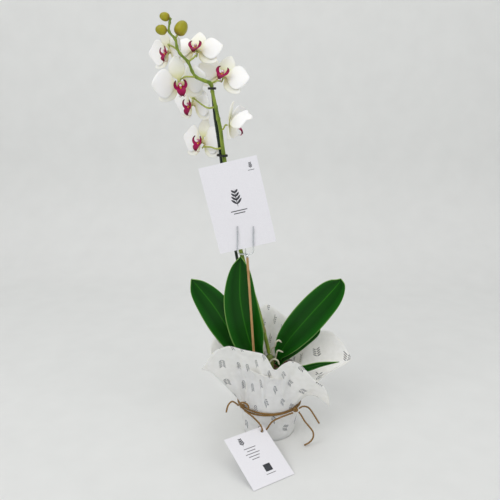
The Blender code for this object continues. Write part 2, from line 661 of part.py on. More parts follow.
def build_card(materials, parts):
    """The gift card, and the clear clip that grips its lower edge on the bamboo stick."""
    upright = Matrix.Rotation(math.radians(90), 4, "X")
    roll = Matrix.Rotation(math.radians(CARD_ROLL), 4, "Z")
    add_plate("message_card", CARD_WIDTH, CARD_HEIGHT, CARD_THICKNESS,
              Matrix.Translation(vec(CARD_MIDDLE)) @ upright @ roll, materials["card"], parts)
    x, y, z = CLIP_FOOT
    grip = CLIP_ROD + CARD_THICKNESS / 2 + GAP
    half, top = CLIP_SPREAD / 2, z + CLIP_REACH
    fork = [(x - half, y - grip, top), (x - half, y - grip, z + 20), (x - half, y - grip, z + 6),
            (x - half + 4, y, z), (x + half - 4, y, z), (x + half, y - grip, z + 6),
            (x + half, y - grip, z + 20), (x + half, y - grip, top)]
    tine = [(x, y, z), (x, y + grip, z + 6), (x, y + grip, top - 12)]
    stick_end = Vector(STICK_PATH[-1]) + Vector((-0.1, -0.2, 2.0))
    socket = [stick_end, stick_end.lerp(Vector(CLIP_FOOT), 0.6), Vector(CLIP_FOOT)]
    pieces = [bake(add_tube(name, path, materials["clear_plastic"], parts, CLIP_ROD))
              for name, path in (("fork", fork), ("tine", tine))]
    base = bake(add_tube("card_clip", socket, materials["clear_plastic"], parts, [2.6, 2.4, 1.6]))
    return combine(base, pieces, "UNION")


def build_tag(materials, parts, cutters):
    """The hang tag, its lower edge on the surface and its hole near the corner by the pot."""
    place = (Matrix.Translation(vec(TAG_LOW_LEFT)) @ Matrix.Rotation(math.radians(TAG_HEADING), 4, "Z")
             @ Matrix.Rotation(math.radians(TAG_SLOPE), 4, "X"))
    middle = place @ Matrix.Translation(vec((TAG_WIDTH / 2, TAG_HEIGHT / 2, TAG_THICKNESS / 2)))
    tag = add_plate("hang_tag", TAG_WIDTH, TAG_HEIGHT, TAG_THICKNESS, middle, materials["card"], parts)
    hole = Vector((TAG_WIDTH - TAG_HOLE_INSET, TAG_HEIGHT - TAG_HOLE_INSET, 0))
    low = place @ ((hole - Vector((0, 0, 6))) * MM) / MM
    high = place @ ((hole + Vector((0, 0, 6))) * MM) / MM
    return combine(tag, [add_cutter_rod("tag_hole", low, high, TAG_HOLE_RADIUS, cutters)], "DIFFERENCE")


def build_twine(materials, parts):
    twine = materials["twine"]
    radius = pot_radius(TIE_HEIGHT) + SHEET_CLEARANCE["outer"] + TWINE_RADIUS + 3 * GAP
    steps = 30
    ring = [(radius * math.cos(math.tau * step / steps), radius * math.sin(math.tau * step / steps),
             TIE_HEIGHT - 2 + math.cos(math.tau * step / steps)) for step in range(steps)]
    add_tube("twine_band", ring, twine, parts, TWINE_RADIUS, closed=True)
    for name, middle in KNOTS.items():
        mesh = bpy.data.meshes.new(name)
        builder = bmesh.new()
        bmesh.ops.create_uvsphere(builder, u_segments=10, v_segments=6, radius=KNOT_RADIUS * MM)
        builder.to_mesh(mesh)
        builder.free()
        add_object(name, mesh, twine, parts).location = vec(middle)
    for name, route in TWINE_STRANDS.items():
        length = sum((Vector(b) - Vector(a)).length for a, b in zip(route, route[1:]))
        count = max(8, round(length / (5 * TWINE_RADIUS)))
        add_tube(name, smooth_path(route, count), twine, parts, TWINE_RADIUS)


def build_roots(materials, parts):
    for name, route in ROOTS.items():
        add_tube(name, smooth_path(route, 12), materials["root"], parts, ROOT_RADIUS, resolution=1)


def main():
    clear_scene()
    parts = new_collection("potted_orchid")
    cutters = new_collection("cutters")
    materials = make_materials()
    build_sheet("wrap_outer", OUTER_EDGE, SHEET_CLEARANCE["outer"], 0.0, materials, parts)
    build_sheet("wrap_inner", INNER_EDGE, SHEET_CLEARANCE["inner"], TISSUE + GAP, materials, parts)
    build_pot(materials, parts, cutters)
    build_bark(materials, parts, cutters)
    build_crown(materials, parts)
    build_leaves(materials, parts)
    build_roots(materials, parts)
    build_stem(materials, parts)
    build_stakes(materials, parts)
    build_blooms(materials, parts)
    build_buds(materials, parts)
    build_card(materials, parts)
    build_tag(materials, parts, cutters)
    build_twine(materials, parts)


main()
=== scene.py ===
import json
import logging
import math
from collections.abc import Callable, Sequence
from dataclasses import dataclass, field
from enum import Enum

import bmesh
import bpy
from mathutils import Matrix, Vector, noise

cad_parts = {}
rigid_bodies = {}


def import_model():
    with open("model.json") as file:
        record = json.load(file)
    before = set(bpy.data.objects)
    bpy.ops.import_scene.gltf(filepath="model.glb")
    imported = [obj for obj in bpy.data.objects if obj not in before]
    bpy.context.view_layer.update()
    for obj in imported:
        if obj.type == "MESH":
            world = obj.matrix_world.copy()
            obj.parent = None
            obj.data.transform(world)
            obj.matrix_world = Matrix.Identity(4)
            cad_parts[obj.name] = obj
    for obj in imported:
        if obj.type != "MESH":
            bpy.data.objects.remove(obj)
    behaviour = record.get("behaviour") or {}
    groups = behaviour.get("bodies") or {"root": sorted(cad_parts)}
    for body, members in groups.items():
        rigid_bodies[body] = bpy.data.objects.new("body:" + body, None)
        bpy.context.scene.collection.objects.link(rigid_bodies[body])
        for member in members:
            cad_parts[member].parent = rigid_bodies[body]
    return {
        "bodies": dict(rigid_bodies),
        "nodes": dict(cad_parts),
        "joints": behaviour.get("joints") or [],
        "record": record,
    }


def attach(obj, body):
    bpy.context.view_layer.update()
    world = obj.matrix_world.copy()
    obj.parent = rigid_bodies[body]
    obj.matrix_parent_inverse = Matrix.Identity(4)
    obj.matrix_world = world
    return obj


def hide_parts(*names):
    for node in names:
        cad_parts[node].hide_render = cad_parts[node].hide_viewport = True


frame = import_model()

LOG = logging.getLogger("potted_orchid")
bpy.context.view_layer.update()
MM = 0.001
Point = tuple[float, float, float]
Placer = Callable[[float, float], Vector]


# ---------------------------------------------------------------- small tools


def mm(point: Sequence[float]) -> Vector:
    """A place in millimetres as a vector in metres."""
    return Vector(point) * MM


def smooth_path(points: Sequence[Sequence[float]], count: int) -> list[Vector]:
    """Points on a smooth curve through the given ones.

    Args:
        points: The places the curve passes, in order.
        count: How many points to return.

    Returns:
        The curve's points, the first and last at the ends.
    """
    knots = [Vector(point) for point in points]
    knots = [knots[0] * 2 - knots[1], *knots, knots[-1] * 2 - knots[-2]]
    spans = len(points) - 1
    path = []
    for step in range(count):
        place = min(step * spans / (count - 1), spans - 1e-6)
        span = int(place)
        t = place - span
        a, b, c, d = knots[span:span + 4]
        path.append(0.5 * (2 * b + (c - a) * t + (2 * a - 5 * b + 4 * c - d) * t * t
                           + (3 * b - a - 3 * c + d) * t * t * t))
    return path


def path_length(points: Sequence[Vector]) -> float:
    """The length of a line through the points, in their own unit."""
    return sum((b - a).length for a, b in zip(points, points[1:]))


def ripple(place: Sequence[float], scale: float, seed: float = 0.0) -> float:
    """Smooth random height from -1 to 1 at a place, the same on every run."""
    return noise.noise(Vector(place) * scale + Vector((seed, seed * 0.7, -seed)))


def put(name: str, data: bpy.types.ID) -> bpy.types.Object:
    """Make an object from its data and put it in the scene.

    Args:
        name: The object's name.
        data: Its mesh, curve, lamp or camera.

    Returns:
        The new object.
    """
    made = bpy.data.objects.new(name, data)
    bpy.context.scene.collection.objects.link(made)
    return made


def plain(thing: bpy.types.Object, name: str) -> bpy.types.Object:
    """Turn an object and its modifiers into a plain mesh object at the origin.

    Args:
        thing: The object to use up.
        name: The new object's name.

    Returns:
        The plain mesh object, its place in its mesh.
    """
    bpy.context.view_layer.update()
    evaluated = thing.evaluated_get(bpy.context.evaluated_depsgraph_get())
    mesh = bpy.data.meshes.new_from_object(evaluated)
    mesh.transform(thing.matrix_world)
    bpy.data.objects.remove(thing, do_unlink=True)
    mesh.name = name
    return put(name, mesh)


def settle(piece: bpy.types.Object, slot: str, *nodes: str) -> bpy.types.Object:
    """Let a finished piece ride on the plant's body and stand for its solids.

    Args:
        piece: The finished piece.
        slot: The record's material slot; not used.
        nodes: The solids that the piece stands for.

    Returns:
        The same piece.
    """
    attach(piece, "root")
    if nodes:
        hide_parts(*nodes)
    LOG.info("%s: %d faces", piece.name, len(piece.data.polygons))
    return piece


# ------------------------------------------------------------------ materials


def colour(code: str) -> tuple[float, float, float, float]:
    """An sRGB hex colour as linear red, green, blue and alpha."""
    parts = [int(code[index:index + 2], 16) / 255 for index in (1, 3, 5)]
    return (*[p / 12.92 if p <= 0.04045 else ((p + 0.055) / 1.055) ** 2.4 for p in parts], 1.0)


def add_node(tree: bpy.types.NodeTree, kind: str, settings: dict | None = None,
             inputs: dict | None = None) -> bpy.types.Node:
    """Add a node, with its settings, values and links.

    Args:
        tree: The node tree.
        kind: The node's type name.
        settings: Properties of the node.
        inputs: Input name or number to a value, or to a (node, output) pair to link.

    Returns:
        The new node.
    """
    node = tree.nodes.new(kind)
    for key, value in (settings or {}).items():
        setattr(node, key, value)
    for key, value in (inputs or {}).items():
        if isinstance(value, tuple) and value and isinstance(value[0], bpy.types.Node):
            tree.links.new(value[0].outputs[value[1]], node.inputs[key])
        else:
            node.inputs[key].default_value = value
    return node


def add_ramp(tree: bpy.types.NodeTree, source: tuple,
             stops: Sequence[tuple[float, str]]) -> bpy.types.Node:
    """A colour ramp from a source through hex colours at their positions.

    Args:
        tree: The node tree.
        source: The (node, output) pair that drives it.
        stops: Each position with its hex colour.

    Returns:
        The ramp's node.
    """
    ramp = add_node(tree, "ShaderNodeValToRGB", None, {"Fac": source})
    elements = ramp.color_ramp.elements
    while len(elements) < len(stops):
        elements.new(0.5)
    for element, (position, code) in zip(elements, stops):
        element.position = position
        element.color = colour(code)
    return ramp


def add_sockets(tree: bpy.types.NodeTree, inputs: dict[str, str]) -> bpy.types.Node:
    """Give a Geometry Nodes tree its inputs and its one output.

    Args:
        tree: The node tree.
        inputs: Name of each input after the geometry, with the kind of its socket.

    Returns:
        The tree's input node.
    """
    for name, kind in {"Geometry": "Geometry", **inputs}.items():
        tree.interface.new_socket(name=name, in_out="INPUT", socket_type=f"NodeSocket{kind}")
    tree.interface.new_socket(name="Geometry", in_out="OUTPUT", socket_type="NodeSocketGeometry")
    return add_node(tree, "NodeGroupInput")


def grow(thing: bpy.types.Object, tree: bpy.types.NodeTree, values: dict, name: str) -> bpy.types.Object:
    """Run a Geometry Nodes tree on an object and keep what it makes.

    Args:
        thing: The object to use up.
        tree: The node tree.
        values: Name of each input after the geometry, with its value.
        name: The new object's name.

    Returns:
        The plain mesh object.
    """
    change = thing.modifiers.new(tree.name, "NODES")
    change.node_group = tree
    for item in tree.interface.items_tree:
        if item.in_out == "INPUT" and item.name in values:
            change[item.identifier] = values[item.name]
    return plain(thing, name)


@dataclass(frozen=True)
class Finish:
    """A surface: its base colours, how rough it is, and the grain that its bump shows.

    Grain sizes are in millimetres on the real surface.
    """

    name: str
    stops: tuple[tuple[float, str], ...]
    roughness: float = 0.5
    grain: float = 2.0
    stretch: Point = (1.0, 1.0, 1.0)
    bump: float = 0.1
    subsurface: float = 0.0
    sheen: float = 0.0
    coat: float = 0.0
    ior: float = 1.45
    specular: float = 0.5
    transmission: float = 0.0

    def source(self, tree: bpy.types.NodeTree) -> tuple:
        """What the colours run along; here the grain itself."""
        return (self.grains(tree), "Fac")

    def coordinates(self, tree: bpy.types.NodeTree) -> tuple:
        """Places on the piece, in metres."""
        return (add_node(tree, "ShaderNodeTexCoord"), "Object")

    def grains(self, tree: bpy.types.NodeTree) -> bpy.types.Node:
        """Noise at the size of the real grain.

        Args:
            tree: The material's node tree.

        Returns:
            The noise node.
        """
        turned = add_node(tree, "ShaderNodeMapping", None,
                          {"Vector": self.coordinates(tree), "Scale": self.stretch})
        return add_node(tree, "ShaderNodeTexNoise", None,
                        {"Vector": (turned, "Vector"), "Scale": 1.0 / (self.grain * MM), "Detail": 4.0})

    def height(self, tree: bpy.types.NodeTree) -> tuple:
        """What the bump follows; here the grain itself."""
        return (self.grains(tree), "Fac")

    def make(self) -> bpy.types.Material:
        """The finish as a Principled material.

        Returns:
            The new material.
        """
        material = bpy.data.materials.new(self.name)
        material.use_nodes = True
        tree = material.node_tree
        shader = tree.nodes["Principled BSDF"]
        ramp = add_ramp(tree, self.source(tree), self.stops)
        tree.links.new(ramp.outputs["Color"], shader.inputs["Base Color"])
        bump = add_node(tree, "ShaderNodeBump", None,
                        {"Height": self.height(tree), "Strength": self.bump, "Distance": 0.5 * MM})
        tree.links.new(bump.outputs["Normal"], shader.inputs["Normal"])
        shader.inputs["Roughness"].default_value = self.roughness
        shader.inputs["IOR"].default_value = self.ior
        shader.inputs["Specular IOR Level"].default_value = self.specular
        shader.inputs["Coat Weight"].default_value = self.coat
        shader.inputs["Sheen Weight"].default_value = self.sheen
        shader.inputs["Transmission Weight"].default_value = self.transmission
        if self.subsurface:
            shader.inputs["Subsurface Weight"].default_value = self.subsurface
            shader.inputs["Subsurface Radius"].default_value = (1.0, 0.9, 0.7)
            shader.inputs["Subsurface Scale"].default_value = 3.0 * MM
        return material


@dataclass(frozen=True)
class BladeFinish(Finish):
    """Living blade: colours run from its base to its tip, and veins run along it."""

    veins: float = 14.0
    vein_depth: float = 0.12

    def blade(self, tree: bpy.types.NodeTree) -> bpy.types.Node:
        """The blade's own coordinates: X across from edge to edge, Y from base to tip."""
        uv = add_node(tree, "ShaderNodeUVMap", {"uv_map": "Blade"})
        return add_node(tree, "ShaderNodeSeparateXYZ", None, {"Vector": (uv, "UV")})

    def vein_noise(self, tree: bpy.types.NodeTree) -> bpy.types.Node:
        """Streaks much longer than they are wide, along the blade.

        Args:
            tree: The material's node tree.

        Returns:
            The noise node.
        """
        uv = add_node(tree, "ShaderNodeUVMap", {"uv_map": "Blade"})
        drawn = add_node(tree, "ShaderNodeMapping", None,
                         {"Vector": (uv, "UV"), "Scale": (self.veins, 1.1, 1.0)})
        return add_node(tree, "ShaderNodeTexNoise", None,
                        {"Vector": (drawn, "Vector"), "Scale": 1.6, "Detail": 3.0, "Distortion": 0.2})

    def source(self, tree: bpy.types.NodeTree) -> tuple:
        """Base to tip, pushed a little to and fro by the veins.

        Args:
            tree: The material's node tree.

        Returns:
            The (node, output) pair that drives the colours.
        """
        veins = self.vein_noise(tree)
        shift = add_node(tree, "ShaderNodeMath", {"operation": "MULTIPLY_ADD"},
                         {0: (veins, "Fac"), 1: self.vein_depth, 2: -self.vein_depth / 2})
        total = add_node(tree, "ShaderNodeMath", {"operation": "ADD", "use_clamp": True},
                         {0: (self.blade(tree), "Y"), 1: (shift, "Value")})
        return (total, "Value")

    def height(self, tree: bpy.types.NodeTree) -> tuple:
        """Raised veins."""
        return (self.vein_noise(tree), "Fac")


@dataclass(frozen=True)
class EdgedBladeFinish(BladeFinish):
    """Thick leaf blade: the colours run from the midrib to the margin."""

    def source(self, tree: bpy.types.NodeTree) -> tuple:
        """Distance from the midrib, with streaks, so that the margin and the midrib are paler.

        Args:
            tree: The material's node tree.

        Returns:
            The (node, output) pair that drives the colours.
        """
        veins = self.vein_noise(tree)
        centred = add_node(tree, "ShaderNodeMath", {"operation": "SUBTRACT"},
                           {0: (self.blade(tree), "X"), 1: 0.5})
        away = add_node(tree, "ShaderNodeMath", {"operation": "ABSOLUTE"}, {0: (centred, "Value")})
        doubled = add_node(tree, "ShaderNodeMath", {"operation": "MULTIPLY"},
                           {0: (away, "Value"), 1: 2.0})
        shift = add_node(tree, "ShaderNodeMath", {"operation": "MULTIPLY_ADD"},
                         {0: (veins, "Fac"), 1: self.vein_depth, 2: -self.vein_depth / 2})
        total = add_node(tree, "ShaderNodeMath", {"operation": "ADD", "use_clamp": True},
                         {0: (doubled, "Value"), 1: (shift, "Value")})
        return (total, "Value")


@dataclass(frozen=True)
class YarnFinish(Finish):
    """Twisted yarn: fibres drawn out along the strand."""

    def coordinates(self, tree: bpy.types.NodeTree) -> tuple:
        """Length along the strand and turn round it, which the tube keeps as attributes.

        Args:
            tree: The material's node tree.

        Returns:
            The (node, output) pair of the coordinates.
        """
        along = add_node(tree, "ShaderNodeAttribute", {"attribute_name": "along"})
        around = add_node(tree, "ShaderNodeAttribute", {"attribute_name": "around"})
        both = add_node(tree, "ShaderNodeCombineXYZ", None, {"X": (along, "Fac"), "Y": (around, "Fac")})
        return (both, "Vector")


@dataclass(frozen=True)
class PaperFinish(Finish):
    """Thin tissue: soft creases from crumpling over a fine paper grain."""

    crease: float = 26.0
    print_step: float = 44.0
    print_size: float = 13.0

    def make(self) -> bpy.types.Material:
        """The finish with a small generic sprig printed all over it in rows.

        Returns:
            The new material.
        """
        material = super().make()
        tree = material.node_tree
        shader = tree.nodes["Principled BSDF"]
        paper = shader.inputs["Base Color"].links[0].from_socket
        mark = self.sprigs(tree)
        mix = add_node(tree, "ShaderNodeMix", {"data_type": "RGBA"}, {0: mark, 7: colour("#717378")})
        tree.links.new(paper, mix.inputs[6])
        tree.links.new(mix.outputs[2], shader.inputs["Base Color"])
        return material

    def sprigs(self, tree: bpy.types.NodeTree) -> tuple:
        """One where a leaf of a printed sprig lies on the flat sheet, else zero.

        Args:
            tree: The material's node tree.

        Returns:
            The (node, output) pair of the mark.
        """
        uv = add_node(tree, "ShaderNodeUVMap", {"uv_map": "Sheet"})
        turned = add_node(tree, "ShaderNodeMapping", None,
                          {"Vector": (uv, "UV"), "Rotation": (0.0, 0.0, math.radians(38)),
                           "Scale": (1 / (self.print_step * MM), 1 / (self.print_step * MM), 1.0)})
        cell = add_node(tree, "ShaderNodeVectorMath", {"operation": "FRACTION"}, {0: (turned, 0)})
        share = self.print_size / self.print_step
        total = None
        for row in range(4):
            for side in (-1, 1):
                middle = (0.5 + side * share * 0.26, 0.5 + share * (0.30 * row - 0.40))
                moved = add_node(tree, "ShaderNodeVectorMath", {"operation": "SUBTRACT"},
                                 {0: (cell, 0), 1: (*middle, 0.0)})
                leaf = add_node(tree, "ShaderNodeMapping", {"vector_type": "TEXTURE"},
                                {"Vector": (moved, 0),
                                 "Rotation": (0.0, 0.0, math.radians(90 - side * 52)),
                                 "Scale": (share * 0.30, share * 0.075, 1.0)})
                near = add_node(tree, "ShaderNodeVectorMath", {"operation": "LENGTH"}, {0: (leaf, 0)})
                inside = add_node(tree, "ShaderNodeMath", {"operation": "LESS_THAN"},
                                  {0: (near, 1), 1: 1.0})
                total = inside if total is None else add_node(
                    tree, "ShaderNodeMath", {"operation": "MAXIMUM"}, {0: (total, 0), 1: (inside, 0)})
        return (total, 0)

    def height(self, tree: bpy.types.NodeTree) -> tuple:
        """Ridges between flat facets, as crumpled paper has, at the crease size.

        Args:
            tree: The material's node tree.

        Returns:
            The (node, output) pair that drives the bump.
        """
        place = self.coordinates(tree)
        bend = add_node(tree, "ShaderNodeTexNoise", None,
                        {"Vector": place, "Scale": 1.0 / (self.crease * MM), "Detail": 2.0})
        facets = add_node(tree, "ShaderNodeTexVoronoi", {"feature": "DISTANCE_TO_EDGE"},
                          {"Vector": place, "Scale": 1.0 / (self.crease * MM)})
        total = add_node(tree, "ShaderNodeMath", {"operation": "ADD"},
                         {0: (facets, "Distance"), 1: (bend, "Fac")})
        return (total, "Value")


class Surface(Enum):
    """Every finish on the plant, its pot and its wrapping."""

    # Orchid petal, a matt living skin: white, warming to cream-green where it joins the middle.
    PETAL = BladeFinish("orchid_petal_white", ((0.0, "#d6d894"), (0.10, "#e9e8c0"), (0.30, "#f8f7f0"),
                                               (0.7, "#fcfbfa")), roughness=0.5, bump=0.25,
                        subsurface=0.3)
    # Orchid sepal: the same skin, creamier, with more yellow-green at the base and on the back.
    SEPAL = BladeFinish("orchid_sepal_cream", ((0.0, "#b9c069"), (0.14, "#e2e2ae"), (0.40, "#f2f1dc"),
                                               (0.85, "#f7f6ee")), roughness=0.5, bump=0.25,
                        subsurface=0.3)
    # Orchid lip, waxy: yellow-white throat, then magenta that darkens to its edge.
    LIP = BladeFinish("orchid_lip_magenta", ((0.0, "#e08a6a"), (0.08, "#c40a55"), (0.3, "#ad0058"),
                                             (0.75, "#8a0040"), (1.0, "#4c0018")), roughness=0.38,
                      bump=0.3,
                      vein_depth=0.35, specular=0.3)
    # Column, smooth and fleshy: cream at its foot, flushing to pink at its front.
    COLUMN = BladeFinish("orchid_column_pink", ((0.0, "#e9d0a8"), (0.45, "#e8c6d2"), (0.9, "#c96a94")),
                         roughness=0.4, subsurface=0.2)
    # Thick waxy leaf: deep green with paler midrib and margin; the gloss comes from the wax.
    LEAF = EdgedBladeFinish("waxy_leaf", ((0.0, "#2c7314"), (0.05, "#0f4a06"), (0.5, "#083f03"),
                                          (0.94, "#125908"), (1.0, "#86b060")), roughness=0.24,
                            bump=0.12,
                            veins=22.0, vein_depth=0.16, specular=0.18)
    # Flower stem, living skin: two greens that run along it, with a soft shine.
    STEM = Finish("flower_stem_green", ((0.3, "#587218"), (0.7, "#93a63c")), roughness=0.4, grain=5.0,
                  stretch=(1.0, 1.0, 0.2), bump=0.08, subsurface=0.1)
    # Flower stalk: the same skin, younger and yellower.
    STALK = Finish("flower_stalk_yellow_green", ((0.3, "#8d9a3c"), (0.7, "#b1b95a")), roughness=0.45,
                   grain=4.0, bump=0.06, subsurface=0.15)
    # Bract, a dry papery scale: dull straw-green.
    BRACT = Finish("dry_bract", ((0.3, "#8a8148"), (0.7, "#a79f62")), roughness=0.6, grain=2.0,
                   bump=0.15)
    # Anther cap, waxy: near-white, so that it catches a small highlight.
    ANTHER = Finish("anther_cap", ((0.3, "#efe6ea"), (0.7, "#f6eef1")), roughness=0.4, grain=2.0)
    # Callus in the throat, fleshy: yellow freckled with orange.
    CALLUS = Finish("callus_yellow", ((0.35, "#b5521f"), (0.5, "#e2b23a"), (0.7, "#ecc95a")),
                    roughness=0.45,
                    grain=0.9, bump=0.2)
    # Flower bud, firm waxy skin: brown at its neck, then olive-yellow with fine veins.
    BUD = BladeFinish("orchid_bud_olive", ((0.0, "#4d2a10"), (0.14, "#86700f"), (0.4, "#a39c14"),
                                           (1.0, "#8f8c12")), roughness=0.42, bump=0.2, veins=30.0,
                      vein_depth=0.2, subsurface=0.15)
    # Aerial root, spongy when dry: chalky grey-green and dull.
    ROOT = Finish("aerial_root_velamen", ((0.3, "#a9a88a"), (0.6, "#d6d3bf")), roughness=0.7, grain=1.6,
                  bump=0.3)
    # Crown of old leaf bases: dull mottled green.
    CROWN = Finish("plant_crown", ((0.3, "#4a5c22"), (0.7, "#7d8a42")), roughness=0.6, grain=4.0)
    # Pine bark: broken rough chips, dark and damp, with paler torn faces.
    BARK = Finish("pine_bark_chips", ((0.25, "#23140c"), (0.5, "#4a2f1d"), (0.75, "#7a5638")),
                  roughness=0.9,
                  grain=6.0, bump=0.9)
    # Stake, plastic over steel: very dark green with a moulded shine.
    STAKE = Finish("plastic_coated_stake", ((0.3, "#16241a"), (0.7, "#1f3324")), roughness=0.4,
                   grain=3.0)
    # Clip, moulded plastic: near-black with a soft shine.
    CLIP = Finish("black_moulded_clip", ((0.3, "#101112"), (0.7, "#1b1c1e")), roughness=0.35, grain=2.0)
    # Split bamboo: pale tan, streaked by the fibres along the stick.
    BAMBOO = Finish("split_bamboo", ((0.3, "#a97c4b"), (0.7, "#cda873")), roughness=0.55, grain=1.2,
                    stretch=(1.0, 1.0, 0.06), bump=0.3)
    # Card holder, clear moulded plastic: little to see but its highlights.
    CLEAR = Finish("clear_moulded_holder", ((0.4, "#eef2f4"), (0.6, "#f6f8f9")), roughness=0.08,
                   ior=1.49,
                   transmission=0.9, grain=8.0, bump=0.02)
    # Grow pot, polypropylene: smooth mid grey with a soft shine.
    POT = Finish("grow_pot_polypropylene", ((0.3, "#8f8c87"), (0.7, "#a3a09b")), roughness=0.35,
                 grain=6.0)
    # Uncoated card: flat cool white with a fine tooth.
    CARD = Finish("uncoated_card", ((0.3, "#e9e8ee"), (0.7, "#f1f0f5")), roughness=0.75, grain=0.8,
                  bump=0.05)
    # Printing ink: dark grey, as matt as the card under it.
    INK = Finish("grey_print", ((0.3, "#33353a"), (0.7, "#44474d")), roughness=0.7, grain=1.0)
    # Wrapping tissue, thin paper: warm white and matt, and a little light comes through it.
    TISSUE = PaperFinish("wrapping_tissue", ((0.3, "#efeee9"), (0.7, "#f8f7f3")), roughness=0.7,
                         grain=9.0,
                         bump=0.5, subsurface=0.35)
    # Jute twine: golden brown, hairy and matt, with its fibres along each ply.
    TWINE = YarnFinish("golden_jute_twine", ((0.3, "#5d4118"), (0.55, "#8f6b32"), (0.8, "#b08d50")),
                       roughness=0.85, grain=1.0, stretch=(1.0, 0.004, 1.0), bump=0.6, sheen=0.2)

    # Studio paper: an even matt pale grey.
    PAPER = Finish("studio_paper", ((0.3, "#e2e3e2"), (0.7, "#e5e6e5")), roughness=0.9, grain=60.0,
                   bump=0.0)

    def get(self) -> bpy.types.Material:
        """This finish's material, made the first time it is asked for."""
        return bpy.data.materials.get(self.value.name) or self.value.make()


# --------------------------------------------------------------- mesh builders


class Skin:
    """Patches of surface gathered into one mesh, each with its own blade coordinates."""

    def __init__(self) -> None:
        """Start with no patches."""
        self.points: list[Vector] = []
        self.faces: list[tuple[int, ...]] = []
        self.coordinates: list[tuple[tuple[float, float], ...]] = []
        self.slots: list[int] = []

    def add_patch(self, rows: int, columns: int, place: Placer, slot: int = 0,
                  closed: bool = False) -> None:
        """Add a grid of faces.

        Args:
            rows: Steps from base to tip.
            columns: Steps from edge to edge, or round a closed patch.
            place: Gives the point, in metres, at a share (0 to 1) and a place across (-1 to 1).
            slot: The material's number in the mesh.
            closed: Whether the last column joins the first.
        """
        start = len(self.points)
        wide = columns if closed else columns + 1
        for row in range(rows + 1):
            for column in range(wide):
                self.points.append(place(row / rows, 2 * column / columns - 1))
        for row in range(rows):
            for column in range(columns):
                after = (column + 1) % wide
                self.faces.append((start + row * wide + column, start + row * wide + after,
                                   start + (row + 1) * wide + after, start + (row + 1) * wide + column))
                self.coordinates.append(((column / columns, row / rows),
                                         ((column + 1) / columns, row / rows),
                                         ((column + 1) / columns, (row + 1) / rows),
                                         (column / columns, (row + 1) / rows)))
                self.slots.append(slot)

    def build(self, name: str, surfaces: Sequence[Surface], thickness: float = 0.0, levels: int = 0,
              place: Matrix | None = None) -> bpy.types.Object:
        """Make the patches one plain mesh object.

        Args:
            name: The object's name.
            surfaces: The finishes, by slot number.
            thickness: Thickness in millimetres, or 0 to leave the surface as it is.
            levels: Subdivision levels.
            place: Where the patches' own frame lies.

        Returns:
            The object, its place in its mesh.
        """
        mesh = bpy.data.meshes.new(name)
        mesh.from_pydata(self.points, [], self.faces)
        layer = mesh.uv_layers.new(name="Blade")
        layer.data.foreach_set("uv",
                               [value for face in self.coordinates for pair in face for value in pair])
        mesh.polygons.foreach_set("material_index", self.slots)
        for surface in surfaces:
            mesh.materials.append(surface.get())
        mesh.validate()
        if place is not None:
            mesh.transform(place)
        cage = bmesh.new()
        cage.from_mesh(mesh)
        bmesh.ops.remove_doubles(cage, verts=cage.verts, dist=0.02 * MM)
        if not thickness:
            bmesh.ops.recalc_face_normals(cage, faces=cage.faces)
        cage.to_mesh(mesh)
        cage.free()
        mesh.shade_smooth()
        thing = put(name, mesh)
        if thickness:
            shell = thing.modifiers.new("Thickness", "SOLIDIFY")
            shell.thickness = thickness * MM
            shell.offset = 0.0
        if levels:
            soft = thing.modifiers.new("Soft", "SUBSURF")
            soft.levels = soft.render_levels = levels
        return plain(thing, name)


def blade_place(spine: Sequence[Sequence[float]], half: Callable[[float], float], hint: Sequence[float],
                lift: Callable[[float, float], float]) -> Placer:
    """Places on a blade that follows a spine.

    Args:
        spine: The spine's points in millimetres.
        half: Half width at a share of the length, in millimetres.
        hint: A direction that the blade's face looks towards.
        lift: Height over the flat blade at a share and a place across, in millimetres.

    Returns:
        A function from share and place across to a point in metres.
    """
    path = smooth_path(spine, 65)
    last = len(path) - 1

    def place(share: float, across: float) -> Vector:
        """A point of the blade.

        Args:
            share: How far along, from 0 to 1.
            across: How far across, from -1 to 1.

        Returns:
            The point, in metres.
        """
        at = min(share * last, last - 1e-6)
        low = int(at)
        point = path[low].lerp(path[low + 1], at - low)
        along = (path[min(low + 2, last)] - path[max(low - 1, 0)]).normalized()
        side = along.cross(Vector(hint)).normalized()
        face = side.cross(along).normalized()
        return (point + side * half(share) * across + face * lift(share, across)) * MM

    return place


